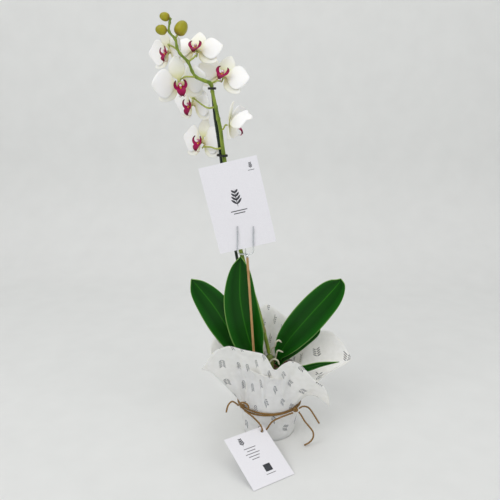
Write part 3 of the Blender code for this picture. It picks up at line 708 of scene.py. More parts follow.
class TubeTree:
    """Geometry Nodes that sweep a lobed, twisted section along every spline."""

    def __init__(self) -> None:
        """Build the tree once."""
        tree = self.tree = bpy.data.node_groups.new("swept_strand", "GeometryNodeTree")
        entry = add_sockets(tree, {"Sides": "Int", "Plies": "Int", "Ply Depth": "Float",
                                   "Turn Length": "Float", "Material": "Material"})
        span = add_node(tree, "GeometryNodeSplineParameter")
        turns = add_node(tree, "ShaderNodeMath", {"operation": "DIVIDE"},
                         {0: (span, "Length"), 1: (entry, "Turn Length")})
        twist = add_node(tree, "ShaderNodeMath", {"operation": "MULTIPLY"}, {0: (turns, 0), 1: math.tau})
        tilted = add_node(tree, "GeometryNodeSetCurveTilt", None,
                          {"Curve": (entry, "Geometry"), "Tilt": (twist, 0)})
        kept = add_node(tree, "GeometryNodeStoreNamedAttribute",
                        {"data_type": "FLOAT", "domain": "POINT"},
                        {"Geometry": (tilted, 0), "Name": "along", "Value": (span, "Length")})
        circle = add_node(tree, "GeometryNodeCurvePrimitiveCircle", {"mode": "RADIUS"},
                          {"Resolution": (entry, "Sides"), "Radius": 1.0})
        angle = add_node(tree, "ShaderNodeMath", {"operation": "MULTIPLY"},
                         {0: (span, "Factor"), 1: math.tau})
        folded = add_node(tree, "ShaderNodeMath", {"operation": "MULTIPLY"},
                          {0: (angle, 0), 1: (entry, "Plies")})
        wave = add_node(tree, "ShaderNodeMath", {"operation": "COSINE"}, {0: (folded, 0)})
        swell = add_node(tree, "ShaderNodeMath", {"operation": "MULTIPLY_ADD"},
                         {0: (wave, 0), 1: (entry, "Ply Depth"), 2: 1.0})
        where = add_node(tree, "GeometryNodeInputPosition")
        pushed = add_node(tree, "ShaderNodeVectorMath", {"operation": "SCALE"},
                          {0: (where, 0), "Scale": (swell, 0)})
        section = add_node(tree, "GeometryNodeSetPosition", None,
                           {"Geometry": (circle, 0), "Position": (pushed, 0)})
        around = add_node(tree, "GeometryNodeStoreNamedAttribute",
                          {"data_type": "FLOAT", "domain": "POINT"},
                          {"Geometry": (section, 0), "Name": "around", "Value": (span, "Factor")})
        size = add_node(tree, "GeometryNodeInputRadius")
        swept = add_node(tree, "GeometryNodeCurveToMesh", None,
                         {"Curve": (kept, 0), "Profile Curve": (around, 0), "Scale": (size, 0),
                          "Fill Caps": True})
        smooth = add_node(tree, "GeometryNodeSetShadeSmooth", None, {"Geometry": (swept, 0)})
        real = add_node(tree, "GeometryNodeRealizeInstances", None, {"Geometry": (smooth, 0)})
        dressed = add_node(tree, "GeometryNodeSetMaterial", None,
                           {"Geometry": (real, 0), "Material": (entry, "Material")})
        add_node(tree, "NodeGroupOutput", None, {"Geometry": (dressed, 0)})

    def sweep(self, name: str, strands: Sequence[tuple[Sequence[Vector], Sequence[float]]],
              surface: Surface,
              sides: int = 14, plies: int = 1, depth: float = 0.0, turn: float = 1.0,
              closed: bool = False) -> bpy.types.Object:
        """Sweep tubes along strands.

        Args:
            name: The object's name.
            strands: For each tube its points and its radii, in millimetres.
            surface: The finish.
            sides: Sides of the section.
            plies: How many plies bulge from it.
            depth: How far they bulge, as a share of the radius.
            turn: Length of one turn of the twist, in metres.
            closed: Whether each strand is a loop.

        Returns:
            The tubes as one plain mesh object.
        """
        curve = bpy.data.curves.new(name, "CURVE")
        curve.dimensions = "3D"
        for points, radii in strands:
            spline = curve.splines.new("POLY")
            spline.points.add(len(points) - 1)
            for index, (point, radius) in enumerate(zip(points, radii)):
                spline.points[index].co = (*mm(point), 1.0)
                spline.points[index].radius = radius * MM
            spline.use_cyclic_u = closed
        return grow(put(name, curve), self.tree,
                    {"Sides": sides, "Plies": plies, "Ply Depth": depth, "Turn Length": turn,
                     "Material": surface.get()}, name)


TUBES = TubeTree()


def join(pieces: Sequence[bpy.types.Object], name: str) -> bpy.types.Object:
    """Put several plain meshes, with their materials, into one object.

    Args:
        pieces: The plain mesh objects, used up but for the first.
        name: The object's name.

    Returns:
        The joined object.
    """
    with bpy.context.temp_override(active_object=pieces[0], selected_editable_objects=list(pieces),
                                   selected_objects=list(pieces)):
        bpy.ops.object.join()
    pieces[0].name = pieces[0].data.name = name
    return pieces[0]


def evenly(points: Sequence[Sequence[float]], step: float) -> list[Vector]:
    """Points on the smooth curve through the given ones, about a step apart, in millimetres.

    Args:
        points: The places the curve passes, in order.
        step: The spacing.

    Returns:
        The points, the first and last at the ends.
    """
    fine = smooth_path(points, 24 * len(points))
    total = path_length(fine)
    count = max(8, round(total / step))
    path, travelled, index = [fine[0]], 0.0, 0
    for mark in range(1, count):
        target = total * mark / count
        while travelled + (fine[index + 1] - fine[index]).length < target:
            travelled += (fine[index + 1] - fine[index]).length
            index += 1
        part = (target - travelled) / (fine[index + 1] - fine[index]).length
        path.append(fine[index].lerp(fine[index + 1], part))
    return [*path, fine[-1]]


# -------------------------------------------------------------------- flowers


class Form(Enum):
    """How far a flower is open: its size, then each tepal's angle and the lean of its tip."""

    OPEN = (1.0, ((90, -2.0), (212, -2.0), (328, -2.0)), ((8, 1.0), (172, 1.0)))
    OPENING = (0.88, ((90, 14.0), (212, 12.0), (328, -2.0)), ((8, 1.0), (172, 16.0)))
    HALF_OPEN = (0.95, ((90, 3.0), (204, 12.0), (336, 12.0)), ((48, 16.0), (127, 38.0)))


# A half-open flower's lip stands this far in front of its middle, tilted by this many degrees.
LIP_PUSH = 4.0
LIP_TILT = -24.0


@dataclass(frozen=True)
class Bloom:
    """One flower: where its middle is, how it is turned, and how its stalk reaches it."""

    name: str
    centre: Point
    turn: float
    nod: float
    roll: float
    form: Form
    from_stem: tuple[Point, ...]
    to_back: tuple[Point, ...]

    def lip_place(self) -> Matrix:
        """The frame of the lip, which stands out from the petals of a half-open flower.

        Returns:
            The frame.
        """
        if self.form is not Form.HALF_OPEN:
            return self.place()
        return (self.place() @ Matrix.Translation(mm((0, 0, LIP_PUSH)))
                @ Matrix.Rotation(math.radians(LIP_TILT), 4, "X"))

    def place(self) -> Matrix:
        """The flower's own frame: +Z is the way it faces and +Y is its upper sepal.

        Returns:
            The frame.
        """
        return (Matrix.Translation(mm(self.centre)) @ Matrix.Rotation(math.radians(self.turn), 4, "Z")
                @ Matrix.Rotation(math.radians(90 + self.nod), 4, "X")
                @ Matrix.Rotation(math.radians(self.roll), 4, "Z") @ Matrix.Scale(self.form.value[0], 4))


# Ways a stalk comes to the back of its flower, in the flower's own frame.
UNDER = ((0, -12, 0), (0, -7, -8))
OVER = ((9.5, 9.5, 4), (5.8, 6.8, -1), (4.2, 5.2, -6))
BESIDE = ((10, -9, 5), (4, -10.5, 1), (1, -6, -6))
BLOOMS = (
    Bloom("flower_1", (-159, -6, 650), -50, 0, 12, Form.OPENING,
          ((-138, -37.5, 646), (-144, -35, 653)), OVER),
    Bloom("flower_2", (-118, 12, 654), -8, -42, 0, Form.OPEN,
          ((-126.5, -35.5, 634), (-118, -27, 641)), UNDER),
    Bloom("flower_3", (-77, 8, 616), 0, -35, -18, Form.OPEN, ((-94, -30, 603), (-85, -27, 607)), UNDER),
    Bloom("flower_4", (-141, -27, 603), 14, 12, 10, Form.OPEN,
          ((-115, -32.5, 612.5), (-124, -36, 613)), OVER),
    Bloom("flower_5", (-127, 16, 572), -44, 5, 0, Form.OPEN,
          ((-87, -25, 569), (-98, -24, 567), (-108, -12, 571)), OVER),
    Bloom("flower_6", (-65.5, -18, 540), 80, 8, 0, Form.HALF_OPEN,
          ((-80.5, -22, 534), (-76, -22.5, 535.5)), ()),
    Bloom("flower_7", (-113, 18, 513), -40, -8, 0, Form.OPEN,
          ((-77, -20, 506), (-88, -21, 505), (-97, -6, 506)), BESIDE))


@dataclass
class FlowerHead:
    """The parts of a moth-orchid flower, in its own frame, in millimetres."""

    hub: float = 4.0
    sepal_length: float = 36.0
    sepal_width: float = 25.0
    petal_length: float = 38.0
    petal_width: float = 44.0
    claw_half: float = 2.4
    claw_share: float = 0.1
    blunt: float = 0.10
    edge_roll: float = 0.06
    thickness: float = 0.8
    setback: float = 2.0
    blade_gap: float = 0.12
    ruffle: float = 0.8
    ruffle_scale: float = 0.075
    midrib_depth: float = 0.35
    midrib_width: float = 0.12
    rod_steps: int = 32
    tongue: tuple[Point, ...] = ((0, -1.5, 2.2), (0, -4.5, 7), (0, -8.5, 10.5), (0, -12.5, 12),
                                 (0, -16, 11))
    lobe: tuple[Point, ...] = ((1.2, -3.6, 5.6), (5.2, -4.6, 8.2), (8.0, -1.0, 10.2), (8.0, 4.0, 10.6),
                               (5.6, 7.6, 9.8))
    whisker: tuple[Point, ...] = ((0.8, -15.0, 11.4), (2.6, -17.4, 10.6), (4.4, -17.2, 8.6),
                                  (4.6, -15.6, 7.4))
    column: tuple[Point, ...] = ((0, 0, 0.6), (0, 0.6, 6), (0, 1.0, 10.5))
    anther: tuple[Point, ...] = ((0, 0.6, 9.4), (0, -0.6, 10.6), (0, -1.6, 11.4))
    callus: tuple[Point, ...] = ((0, -2.0, 4.4), (0, -4.0, 7.6), (0, -5.6, 9.4))

    def half_width(self, share: float, width: float) -> float:
        """Half width along a sepal or petal: a narrow claw, then a round blade with a blunt tip.

        Args:
            share: How far along, from 0 to 1.
            width: The blade's greatest width.

        Returns:
            The half width, in millimetres.
        """
        blade = max(0.0, share - self.claw_share) / (1 - self.claw_share)
        swell = math.sin(math.pi * (0.93 * blade) ** 0.9) ** 0.8 if blade else 0.0
        return self.claw_half + (width / 2 - self.claw_half) * swell

    def tepal(self, angle: float, bend: float, length: float, width: float, back: float,
              seed: float) -> Placer:
        """Places on one sepal or petal.

        Args:
            angle: The way it points, in degrees from the flower's +X.
            bend: How far its tip leans forwards.
            length: Its length from the hub.
            width: Its greatest width.
            back: How far it lies behind the flower's middle.
            seed: Picks its own ruffle.

        Returns:
            A function from share and place across to a point.
        """
        out = Vector((math.cos(math.radians(angle)), math.sin(math.radians(angle)), 0))
        side = Vector((-out.y, out.x, 0))
        tip = self.hub + length

        def place(share: float, across: float) -> Vector:
            """A point of the tepal.

            Args:
                share: How far along, from 0 to 1.
                across: How far across, from -1 to 1.

            Returns:
                The point, in metres.
            """
            half = self.half_width(share, width)
            reach = (self.hub * min(1.0, 0.2 + 9 * share)
                     + length * share * (1 - self.blunt * across * across))
            far = Vector((reach, half * across)).length / tip
            reach *= 1 - (far * bend / tip) ** 2 / 2
            point = out * reach + side * half * across
            point.z = bend * far ** 2 - self.edge_roll * width * share * across * across - back
            wave = ripple(point, self.ruffle_scale, seed)
            point.z += self.ruffle * far * wave * (0.4 + across * across)
            groove = math.exp(-(across / self.midrib_width) ** 2)
            point.z -= self.midrib_depth * groove * min(1.0, 4 * share) * (1 - share)
            return point * MM

        return place

    def whorl(self, name: str, bloom: Bloom, angles: Sequence[tuple[float, float]], length: float,
              width: float, back: float, surface: Surface) -> bpy.types.Object:
        """The sepals or the petals of one flower as one piece.

        Args:
            name: The object's name.
            bloom: The flower.
            angles: Each blade's angle and the lean of its tip.
            length: The blades' length.
            width: The blades' width.
            back: How far they lie behind the flower's middle.
            surface: The finish.

        Returns:
            The piece.
        """
        skin = Skin()
        for index, (angle, bend) in enumerate(angles):
            seed = bloom.centre[2] * 0.1 + 3.1 * index
            blade = self.tepal(angle, bend, length, width, back + self.blade_gap * index, seed)
            skin.add_patch(22, 16, blade)
        return skin.build(name, (surface,), self.thickness, place=bloom.place())

    def lip(self, bloom: Bloom) -> bpy.types.Object:
        """Tongue with its two whiskers, side lobes, yellow callus and the column with its anther cap.

        Args:
            bloom: The flower.

        Returns:
            The piece.
        """
        skin = Skin()
        skin.add_patch(18, 12, blade_place(
            self.tongue, lambda share: 1.8 + 5.0 * math.sin(math.pi * share ** 0.9) ** 1.3, (0, 0.4, 1),
            lambda share, across: 1.6 * across * across + 0.5 * math.cos(9 * share) * across))
        for side in (-1, 1):
            spine = [(side * x, y, z) for x, y, z in self.lobe]
            skin.add_patch(14, 10, blade_place(
                spine, lambda share: 1.9 * (1 - share) + 0.25 + 1.1 * math.sin(math.pi * share),
                (0, 0.3, 1),
                lambda share, across: 0.9 * across * across))
        blades = skin.build(f"{bloom.name}_lip", (Surface.LIP,), 0.9, place=bloom.lip_place())
        body = Skin()
        body.add_patch(14, 14, self.rod(self.column, lambda share: 2.1 + 0.6 * math.sin(
            math.pi * share) * share), 0, closed=True)
        body.add_patch(8, 12, self.rod(
            self.anther, lambda share: 1.9 * math.sin(math.pi * (0.08 + 0.86 * share)) ** 0.6),
            1, closed=True)
        body.add_patch(8, 12, self.rod(
            self.callus, lambda share: 1.7 * math.sin(math.pi * (0.06 + 0.9 * share)) ** 0.6),
            2, closed=True)
        for side in (-1, 1):
            body.add_patch(12, 6, self.rod([(side * x, y, z) for x, y, z in self.whisker],
                                           lambda share: 0.5 - 0.35 * share), 3, closed=True)
        finishes = (Surface.COLUMN, Surface.ANTHER, Surface.CALLUS, Surface.LIP)
        middle = body.build(f"{bloom.name}_column", finishes, place=bloom.lip_place())
        return join([blades, middle], f"{bloom.name}_lip")

    def rod(self, spine: Sequence[Sequence[float]], radius: Callable[[float], float]) -> Placer:
        """Places round a short rod with closed round ends.

        Args:
            spine: The middle line's points, in millimetres.
            radius: Its radius at a share of the length.

        Returns:
            A function from share and place across to a point.
        """
        last = self.rod_steps
        path = smooth_path(spine, last + 1)

        def place(share: float, across: float) -> Vector:
            """A point of the rod's skin.

            Args:
                share: How far along, from 0 to 1.
                across: How far across, from -1 to 1.

            Returns:
                The point, in metres.
            """
            at = min(share * last, last - 0.001)
            low = int(at)
            point = path[low].lerp(path[low + 1], at - low)
            along = (path[min(low + 2, last)] - path[max(low - 1, 0)]).normalized()
            side = along.cross(Vector((1, 0, 0.1))).normalized()
            up = side.cross(along)
            end = min(1.0, math.sqrt(max(0.0, min(share, 1 - share) * 9)))
            size = radius(share) * max(end, 0.001)
            angle = math.pi * across
            return (point + (side * math.cos(angle) + up * math.sin(angle)) * size) * MM

        return place

    def build(self, bloom: Bloom) -> None:
        """Make the pieces of one flower and let them stand for its solids.

        Args:
            bloom: The flower.
        """
        _, sepals, petals = bloom.form.value
        settle(self.whorl(f"{bloom.name}_sepal_blades", bloom, sepals, self.sepal_length,
                          self.sepal_width,
                          self.setback, Surface.SEPAL), "sepal", f"{bloom.name}_sepals")
        settle(self.whorl(f"{bloom.name}_petal_blades", bloom, petals, self.petal_length,
                          self.petal_width,
                          0.0, Surface.PETAL), "petal", f"{bloom.name}_petals")
        lip = self.lip(bloom)
        lip.name = f"{bloom.name}_lip_and_column"
        settle(lip, "lip", f"{bloom.name}_lip")


@dataclass(frozen=True)
class Bud:
    """One flower bud: its middle, radius and half length, and where its stalk leaves the stem."""

    name: str
    middle: Point
    radius: float
    half_length: float
    start: Point


@dataclass
class FlowerSpike:
    """The arching flower stem with its stalks, nodes, bracts and buds."""

    axis: tuple[tuple[Point, float], ...] = (
        ((-1, 1, 146.6), 3.4), ((-10, 3, 185), 3.3), ((-21, 4, 230), 3.3), ((-49, 0, 329), 3.4),
        ((-66, -10, 425), 3.4), ((-76.5, -19, 500), 3.2), ((-80, -21.5, 532), 2.9),
        ((-83.5, -23.5, 551), 2.8), ((-87, -25, 569), 2.7), ((-91.5, -28, 591), 2.5),
        ((-94, -30, 603), 2.7),
        ((-104, -31, 607.5), 2.1), ((-115, -32.5, 612.5), 2.2), ((-121, -34, 621), 2.0),
        ((-126.5, -35.5, 634), 2.1), ((-138, -37.5, 646), 1.8), ((-142, -39, 656), 1.7),
        ((-144, -40, 666), 1.9), ((-152, -43, 676), 1.6), ((-150.5, -45, 688), 1.4),
        ((-149, -45, 694), 1.4))
    buds: tuple[Bud, ...] = (
        Bud("bud_1", (-157.5, -45, 696), 6.3, 7.4, (-149, -45, 694)),
        Bud("bud_2", (-163, -46, 678), 7.2, 8.4, (-152, -43, 677)),
        Bud("bud_3", (-135, -37, 681), 9.4, 11.4, (-144, -40, 666)))
    node_heights: tuple[float, ...] = (185.0, 262.0, 345.0, 425.0)
    stalk_radius: float = 1.4
    node_swell: float = 0.9
    node_reach: float = 2.2
    bract_length: float = 15.0
    branching: float = 550.0
    into_flower: tuple[Point, ...] = ((0, 0, -7.7), (0, 0, -2.6))
    steps: int = 320

    def radius_at(self, place: float) -> float:
        """Radius of the stem at a place counted in spans of its axis.

        Args:
            place: The place, 0 at the axis's first point.

        Returns:
            The radius, in millimetres.
        """
        low = min(int(place), len(self.axis) - 2)
        first, second = self.axis[low][1], self.axis[low + 1][1]
        return first + (second - first) * (place - low)

    def stem_strand(self) -> tuple[list[Vector], list[float]]:
        """The stem's middle line and its radii, swollen at each node.

        Returns:
            The points and the radii.
        """
        path = smooth_path([point for point, _ in self.axis], self.steps)
        last = len(self.axis) - 1
        joints = [point[2] for point, _ in self.axis if point[2] > self.branching]
        joints += self.node_heights
        radii = []
        for index, point in enumerate(path):
            swell = max(math.exp(-((point.z - height) / self.node_reach) ** 2) for height in joints)
            radii.append(self.radius_at(index * last / (self.steps - 1)) + self.node_swell * swell * 0.8)
        return path, radii

    def stalks(self) -> list[tuple[list[Vector], list[float]]]:
        """The stalks of the flowers and of the buds that stand off the stem.

        Returns:
            The points and the radii of each stalk.
        """
        strands = []
        for bloom in BLOOMS:
            local = (*bloom.to_back, *self.into_flower)
            way = [*map(Vector, bloom.from_stem), *(bloom.place() @ mm(point) / MM for point in local)]
            path = smooth_path(way, 12 * len(way))
            waist = [1.12 - 0.24 * math.sin(math.pi * step / len(path)) for step in range(len(path))]
            strands.append((path, [self.stalk_radius * share for share in waist]))
        for bud in self.buds:
            out = (Vector(bud.middle) - Vector(bud.start)).normalized()
            end = Vector(bud.middle) - out * (bud.half_length - 0.6)
            strands.append(([Vector(bud.start), Vector(bud.start).lerp(end, 0.5), end],
                            [self.stalk_radius, self.stalk_radius * 0.95, self.stalk_radius * 1.2]))
        return strands

    def bracts(self) -> bpy.types.Object:
        """Small pointed scales that clasp the stem above each node.

        Returns:
            The scales as one object.
        """
        path, radii = self.stem_strand()
        skin = Skin()
        for number, height in enumerate(self.node_heights):
            start = min(range(len(path)), key=lambda index: abs(path[index].z - height))
            along = (path[start + 2] - path[start]).normalized()
            facing = math.radians(-90 + 150 * (number % 2))
            ahead = Vector((math.cos(facing), math.sin(facing), 0))
            side = along.cross(ahead).normalized()
            ahead = side.cross(along).normalized()
            base, stem = path[start], radii[start]

            def place(share: float, across: float, base: Vector = base, stem: float = stem,
                      along: Vector = along, side: Vector = side, ahead: Vector = ahead) -> Vector:
                """A point of the scale, wrapped round the stem and pointed at its top.

                Args:
                    share: How far along, from 0 to 1.
                    across: How far across, from -1 to 1.
                    base: The node's middle.
                    stem: The stem's radius there.
                    along: The way up the stem.
                    side: A direction across the stem.
                    ahead: The way the scale faces.

                Returns:
                    The point, in metres.
                """
                angle = across * 2.0 * (1 - share) ** 0.7
                away = stem - 0.3 + 1.2 * share * share
                return (base + along * self.bract_length * share
                        + (ahead * math.cos(angle) + side * math.sin(angle)) * away) * MM

            skin.add_patch(10, 10, place)
        return skin.build("bracts", (Surface.BRACT,), 0.5)

    def bud_shape(self, bud: Bud) -> bpy.types.Object:
        """An egg-shaped bud with the seams of its three sepals and a nipped tip.

        Args:
            bud: The bud.

        Returns:
            The bud.
        """
        out = (Vector(bud.middle) - Vector(bud.start)).normalized()
        frame = Matrix.Translation(mm(bud.middle)) @ out.to_track_quat("Z", "Y").to_matrix().to_4x4()
        skin = Skin()

        def place(share: float, across: float) -> Vector:
            """A point of the bud's skin.

            Args:
                share: How far along, from 0 to 1.
                across: How far across, from -1 to 1.

            Returns:
                The point, in metres.
            """
            turn = math.pi * across
            polar = math.pi * share
            width = math.sin(polar) ** 0.9 * (1 + 0.10 * math.cos(polar))
            seam = max(0.0, math.cos(1.5 * turn)) ** 14 + max(0.0, -math.cos(1.5 * turn)) ** 14
            width *= 1 - 0.07 * seam * math.sin(polar)
            return Vector((bud.radius * width * math.cos(turn), bud.radius * width * math.sin(turn),
                           -bud.half_length * math.cos(polar))) * MM

        skin.add_patch(24, 36, place, closed=True)
        return skin.build(f"{bud.name}_shape", (Surface.BUD,), place=frame)

    def build(self) -> None:
        """Make the spike and its buds."""
        stem = TUBES.sweep("stem_axis", [self.stem_strand()], Surface.STEM, sides=18)
        stalks = TUBES.sweep("stalks", self.stalks(), Surface.STALK, sides=12)
        settle(join([stem, stalks, self.bracts()], "flower_spike"), "stem", "flower_stem")
        for bud in self.buds:
            settle(self.bud_shape(bud), "bud", bud.name)


# ---------------------------------------------------------------- leaves, pot


@dataclass
class Foliage:
    """Leaves, crown and aerial roots."""

    leaves: dict[str, tuple] = field(default_factory=lambda: {
        "leaf_left": (((-16, -1, 128), (-45, -3, 152), (-71, -6, 194), (-96, -9, 238), (-120, -11, 271),
                       (-133, -11, 288)), 28.0, 7.0, 1.3),
        "leaf_centre": (((-10, -12, 138), (-29, -14, 160), (-40, -14, 192), (-51, -13, 250),
                         (-51.5, -12, 302), (-50, -12, 328)), 30.0, 8.0, 1.2),
        "leaf_right": (((13, 3, 134), (32, 1, 170), (62, -2, 211), (97, -3, 254), (114, -2, 275),
                        (119, -1, 285)), 29.0, 7.0, 1.0),
        "leaf_lower_right": (((13, 8, 119), (34, 10, 146), (60, 11, 174), (80, 10, 190), (89, 9, 196)),
                             17.0, 3.0, 1.3),
        "leaf_small": (((11, -15, 119), (30, -25, 126), (58, -37, 136), (84, -44, 147), (116, -43, 151)),
                       6.0, 2.0, 1.3)})
    roots: dict[str, tuple] = field(default_factory=lambda: {
        "aerial_root_1": ((4, -12, 150), (3, -17, 163), (8, -25, 172), (9, -30, 181), (14, -31, 185),
                          (19, -31, 181)),
        "aerial_root_2": ((9, -13, 140), (11, -20, 156), (14, -24, 163), (22, -29, 162)),
        "aerial_root_3": ((-2, -15, 130), (-1, -24, 140), (3, -31, 149), (8, -35, 152), (13, -36, 149),
                          (15, -37, 142)),
        "aerial_root_4": ((-12, -9, 120), (-20, -24, 121), (-30, -33, 114), (-36, -36, 111.6))})
    thickness: float = 1.6
    base_half: float = 6.0
    groove: float = 1.6
    groove_width: float = 0.09
    wave: float = 1.2
    fullness: float = 0.72
    root_radius: float = 1.4
    crown_radius: float = 9.0
    crown_bottom: float = 96.0
    crown_top: float = 146.0

    def half_width(self, share: float, widest: float, power: float) -> float:
        """Half width along a leaf: narrow at the crown, widest about the middle, round at the tip.

        Args:
            share: How far along, from 0 to 1.
            widest: Its widest half width.
            power: Over 1 puts its widest place past the middle.

        Returns:
            The half width, in millimetres.
        """
        swell = math.sin(math.pi * min(share, 0.9999) ** power) ** self.fullness
        return max(self.base_half * (1 - share), widest * swell, 0.02)

    def leaf(self, name: str, spine: Sequence[Point], widest: float, rise: float,
             power: float) -> bpy.types.Object:
        """One leaf with its groove along the midrib and softly waved margins.

        Args:
            name: The object's name.
            spine: The middle line's points, in millimetres.
            widest: Its widest half width.
            rise: How far its edges rise.
            power: Over 1 puts its widest place past the middle.

        Returns:
            The leaf.
        """
        seed = spine[-1][0] * 0.11
        skin = Skin()
        skin.add_patch(40, 20, blade_place(
            spine, lambda share: self.half_width(1 - (1 - share) ** 1.25, widest, power),
            (0, -1, 0.15),
            lambda share, across: rise * (1 - 0.5 * share) * min(1.0, 4 * share + 0.2) * across * across
            - self.groove * math.exp(-(across / self.groove_width) ** 2) * (1 - share)
            + self.wave * ripple((share * 4, across, seed), 1.3) * across * across))
        return skin.build(f"{name}_blade", (Surface.LEAF,), self.thickness, levels=1)

    def crown(self) -> bpy.types.Object:
        """The short stem that the leaves clasp, with the rims of old leaf bases round it.

        Returns:
            The crown.
        """
        skin = Skin()

        def place(share: float, across: float) -> Vector:
            """A point of the crown's skin.

            Args:
                share: How far along, from 0 to 1.
                across: How far across, from -1 to 1.

            Returns:
                The point, in metres.
            """
            angle = math.pi * across
            rim = 0.5 * abs(math.sin(math.pi * 5 * share + 0.6 * math.sin(angle)))
            close = math.sqrt(max(0.0, min(1.0, min(share, 1 - share) * 8)))
            radius = (self.crown_radius - 0.6 - 2.2 * share + rim) * max(close, 0.001)
            height = self.crown_bottom + (self.crown_top - self.crown_bottom) * share
            return Vector((radius * math.cos(angle), radius * math.sin(angle), height)) * MM

        skin.add_patch(36, 32, place, closed=True)
        return skin.build("crown_stem", (Surface.CROWN,))

    def root(self, name: str, route: Sequence[Point]) -> bpy.types.Object:
        """One aerial root: uneven along its length, with a blunt tip.

        Args:
            name: The object's name.
            route: The places it passes, in millimetres.

        Returns:
            The root.
        """
        path = evenly(route, 1.0)
        count = len(path) - 1
        radii = [self.root_radius * (1.0 + 0.18 * ripple(point, 0.25)) * min(1.0, math.sqrt(
            (count - index) / 3 + 0.05)) for index, point in enumerate(path)]
        return TUBES.sweep(f"{name}_velamen", [(path, radii)], Surface.ROOT, sides=12)

    def build(self) -> None:
        """Make the leaves, the crown and the roots."""
        for name, (spine, widest, rise, power) in self.leaves.items():
            settle(self.leaf(name, spine, widest, rise, power), "leaf", name)
        settle(self.crown(), "crown_tissue", "crown")
        for name, route in self.roots.items():
            settle(self.root(name, route), "root", name)


@dataclass
class PotAndBark:
    """The grow pot and its bark, with loose chips scattered on top by Geometry Nodes."""

    bed_radius: float = 53.0
    bed_height: float = 107.5
    crown_radius: float = 13.0
    spacing: float = 6.5
    seed: int = 7
    chip_half: Point = (8.0, 5.0, 3.0)
    chip_rough: float = 0.35
    most_chips: float = 60000.0

    def chip(self) -> bpy.types.Object:
        """One rough chip, longer than it is wide or thick.

        Returns:
            The chip, to be scattered and then removed.
        """
        mesh = bpy.data.meshes.new("chip_shape")
        cage = bmesh.new()
        bmesh.ops.create_icosphere(cage, subdivisions=1, radius=1.0)
        for vert in cage.verts:
            vert.co *= 1 + self.chip_rough * noise.noise(vert.co * 1.7)
            vert.co = Vector([part * half for part, half in zip(vert.co, self.chip_half)]) * MM
        cage.to_mesh(mesh)
        cage.free()
        return put("chip_shape", mesh)

    def bed(self) -> bpy.types.Object:
        """A ring of surface that the chips lie on.

        Returns:
            The ring, which the scattering uses up.
        """
        mesh = bpy.data.meshes.new("bark_chips")
        cage = bmesh.new()
        steps = 48
        rings = [[cage.verts.new((radius * MM * math.cos(math.tau * step / steps),
                                  radius * MM * math.sin(math.tau * step / steps), self.bed_height * MM))
                  for step in range(steps)] for radius in (self.crown_radius, self.bed_radius)]
        for step in range(steps):
            after = (step + 1) % steps
            cage.faces.new((rings[0][step], rings[1][step], rings[1][after], rings[0][after]))
        cage.to_mesh(mesh)
        cage.free()
        return put("bark_chips", mesh)

    def scatter_tree(self) -> bpy.types.NodeTree:
        """Geometry Nodes that scatter turned chips of several sizes over a surface.

        Returns:
            The node tree.
        """
        tree = bpy.data.node_groups.new("scattered_chips", "GeometryNodeTree")
        entry = add_sockets(tree, {"Chip": "Object", "Spacing": "Float", "Seed": "Int",
                                   "Material": "Material"})
        points = add_node(tree, "GeometryNodeDistributePointsOnFaces", {"distribute_method": "POISSON"},
                          {"Mesh": (entry, "Geometry"), "Distance Min": (entry, "Spacing"),
                           "Density Max": self.most_chips, "Seed": (entry, "Seed")})
        chip = add_node(tree, "GeometryNodeObjectInfo", None, {"Object": (entry, "Chip")})
        turn = add_node(tree, "FunctionNodeRandomValue", {"data_type": "FLOAT_VECTOR"},
                        {0: (-0.7, -0.7, 0.0), 1: (0.7, 0.7, math.tau), "Seed": (entry, "Seed")})
        size = add_node(tree, "FunctionNodeRandomValue", {"data_type": "FLOAT_VECTOR"},
                        {0: (0.6, 0.6, 0.7), 1: (1.25, 1.2, 1.3), "Seed": (entry, "Seed")})
        placed = add_node(tree, "GeometryNodeInstanceOnPoints", None,
                          {"Points": (points, "Points"), "Instance": (chip, "Geometry"),
                           "Rotation": (turn, 0), "Scale": (size, 0)})
        real = add_node(tree, "GeometryNodeRealizeInstances", None, {"Geometry": (placed, 0)})
        dressed = add_node(tree, "GeometryNodeSetMaterial", None,
                           {"Geometry": (real, 0), "Material": (entry, "Material")})
        add_node(tree, "NodeGroupOutput", None, {"Geometry": (dressed, 0)})
        return tree

    def chips(self) -> bpy.types.Object:
        """The loose chips as one mesh.

        Returns:
            The chips.
        """
        bed, chip, tree = self.bed(), self.chip(), self.scatter_tree()
        made = grow(bed, tree, {"Chip": chip, "Spacing": self.spacing * MM, "Seed": self.seed,
                                "Material": Surface.BARK.get()}, "bark_chips")
        bpy.data.objects.remove(chip, do_unlink=True)
        return made

    def build(self) -> None:
        """Scatter the chips, and give the carried-over pot and bark their finishes."""
        settle(self.chips(), "bark")
        for name, surface in (("grow_pot", Surface.POT), ("bark_medium", Surface.BARK)):
            frame["nodes"][name].data.materials.clear()
            frame["nodes"][name].data.materials.append(surface.get())


# ------------------------------------------------------------- stakes and ties


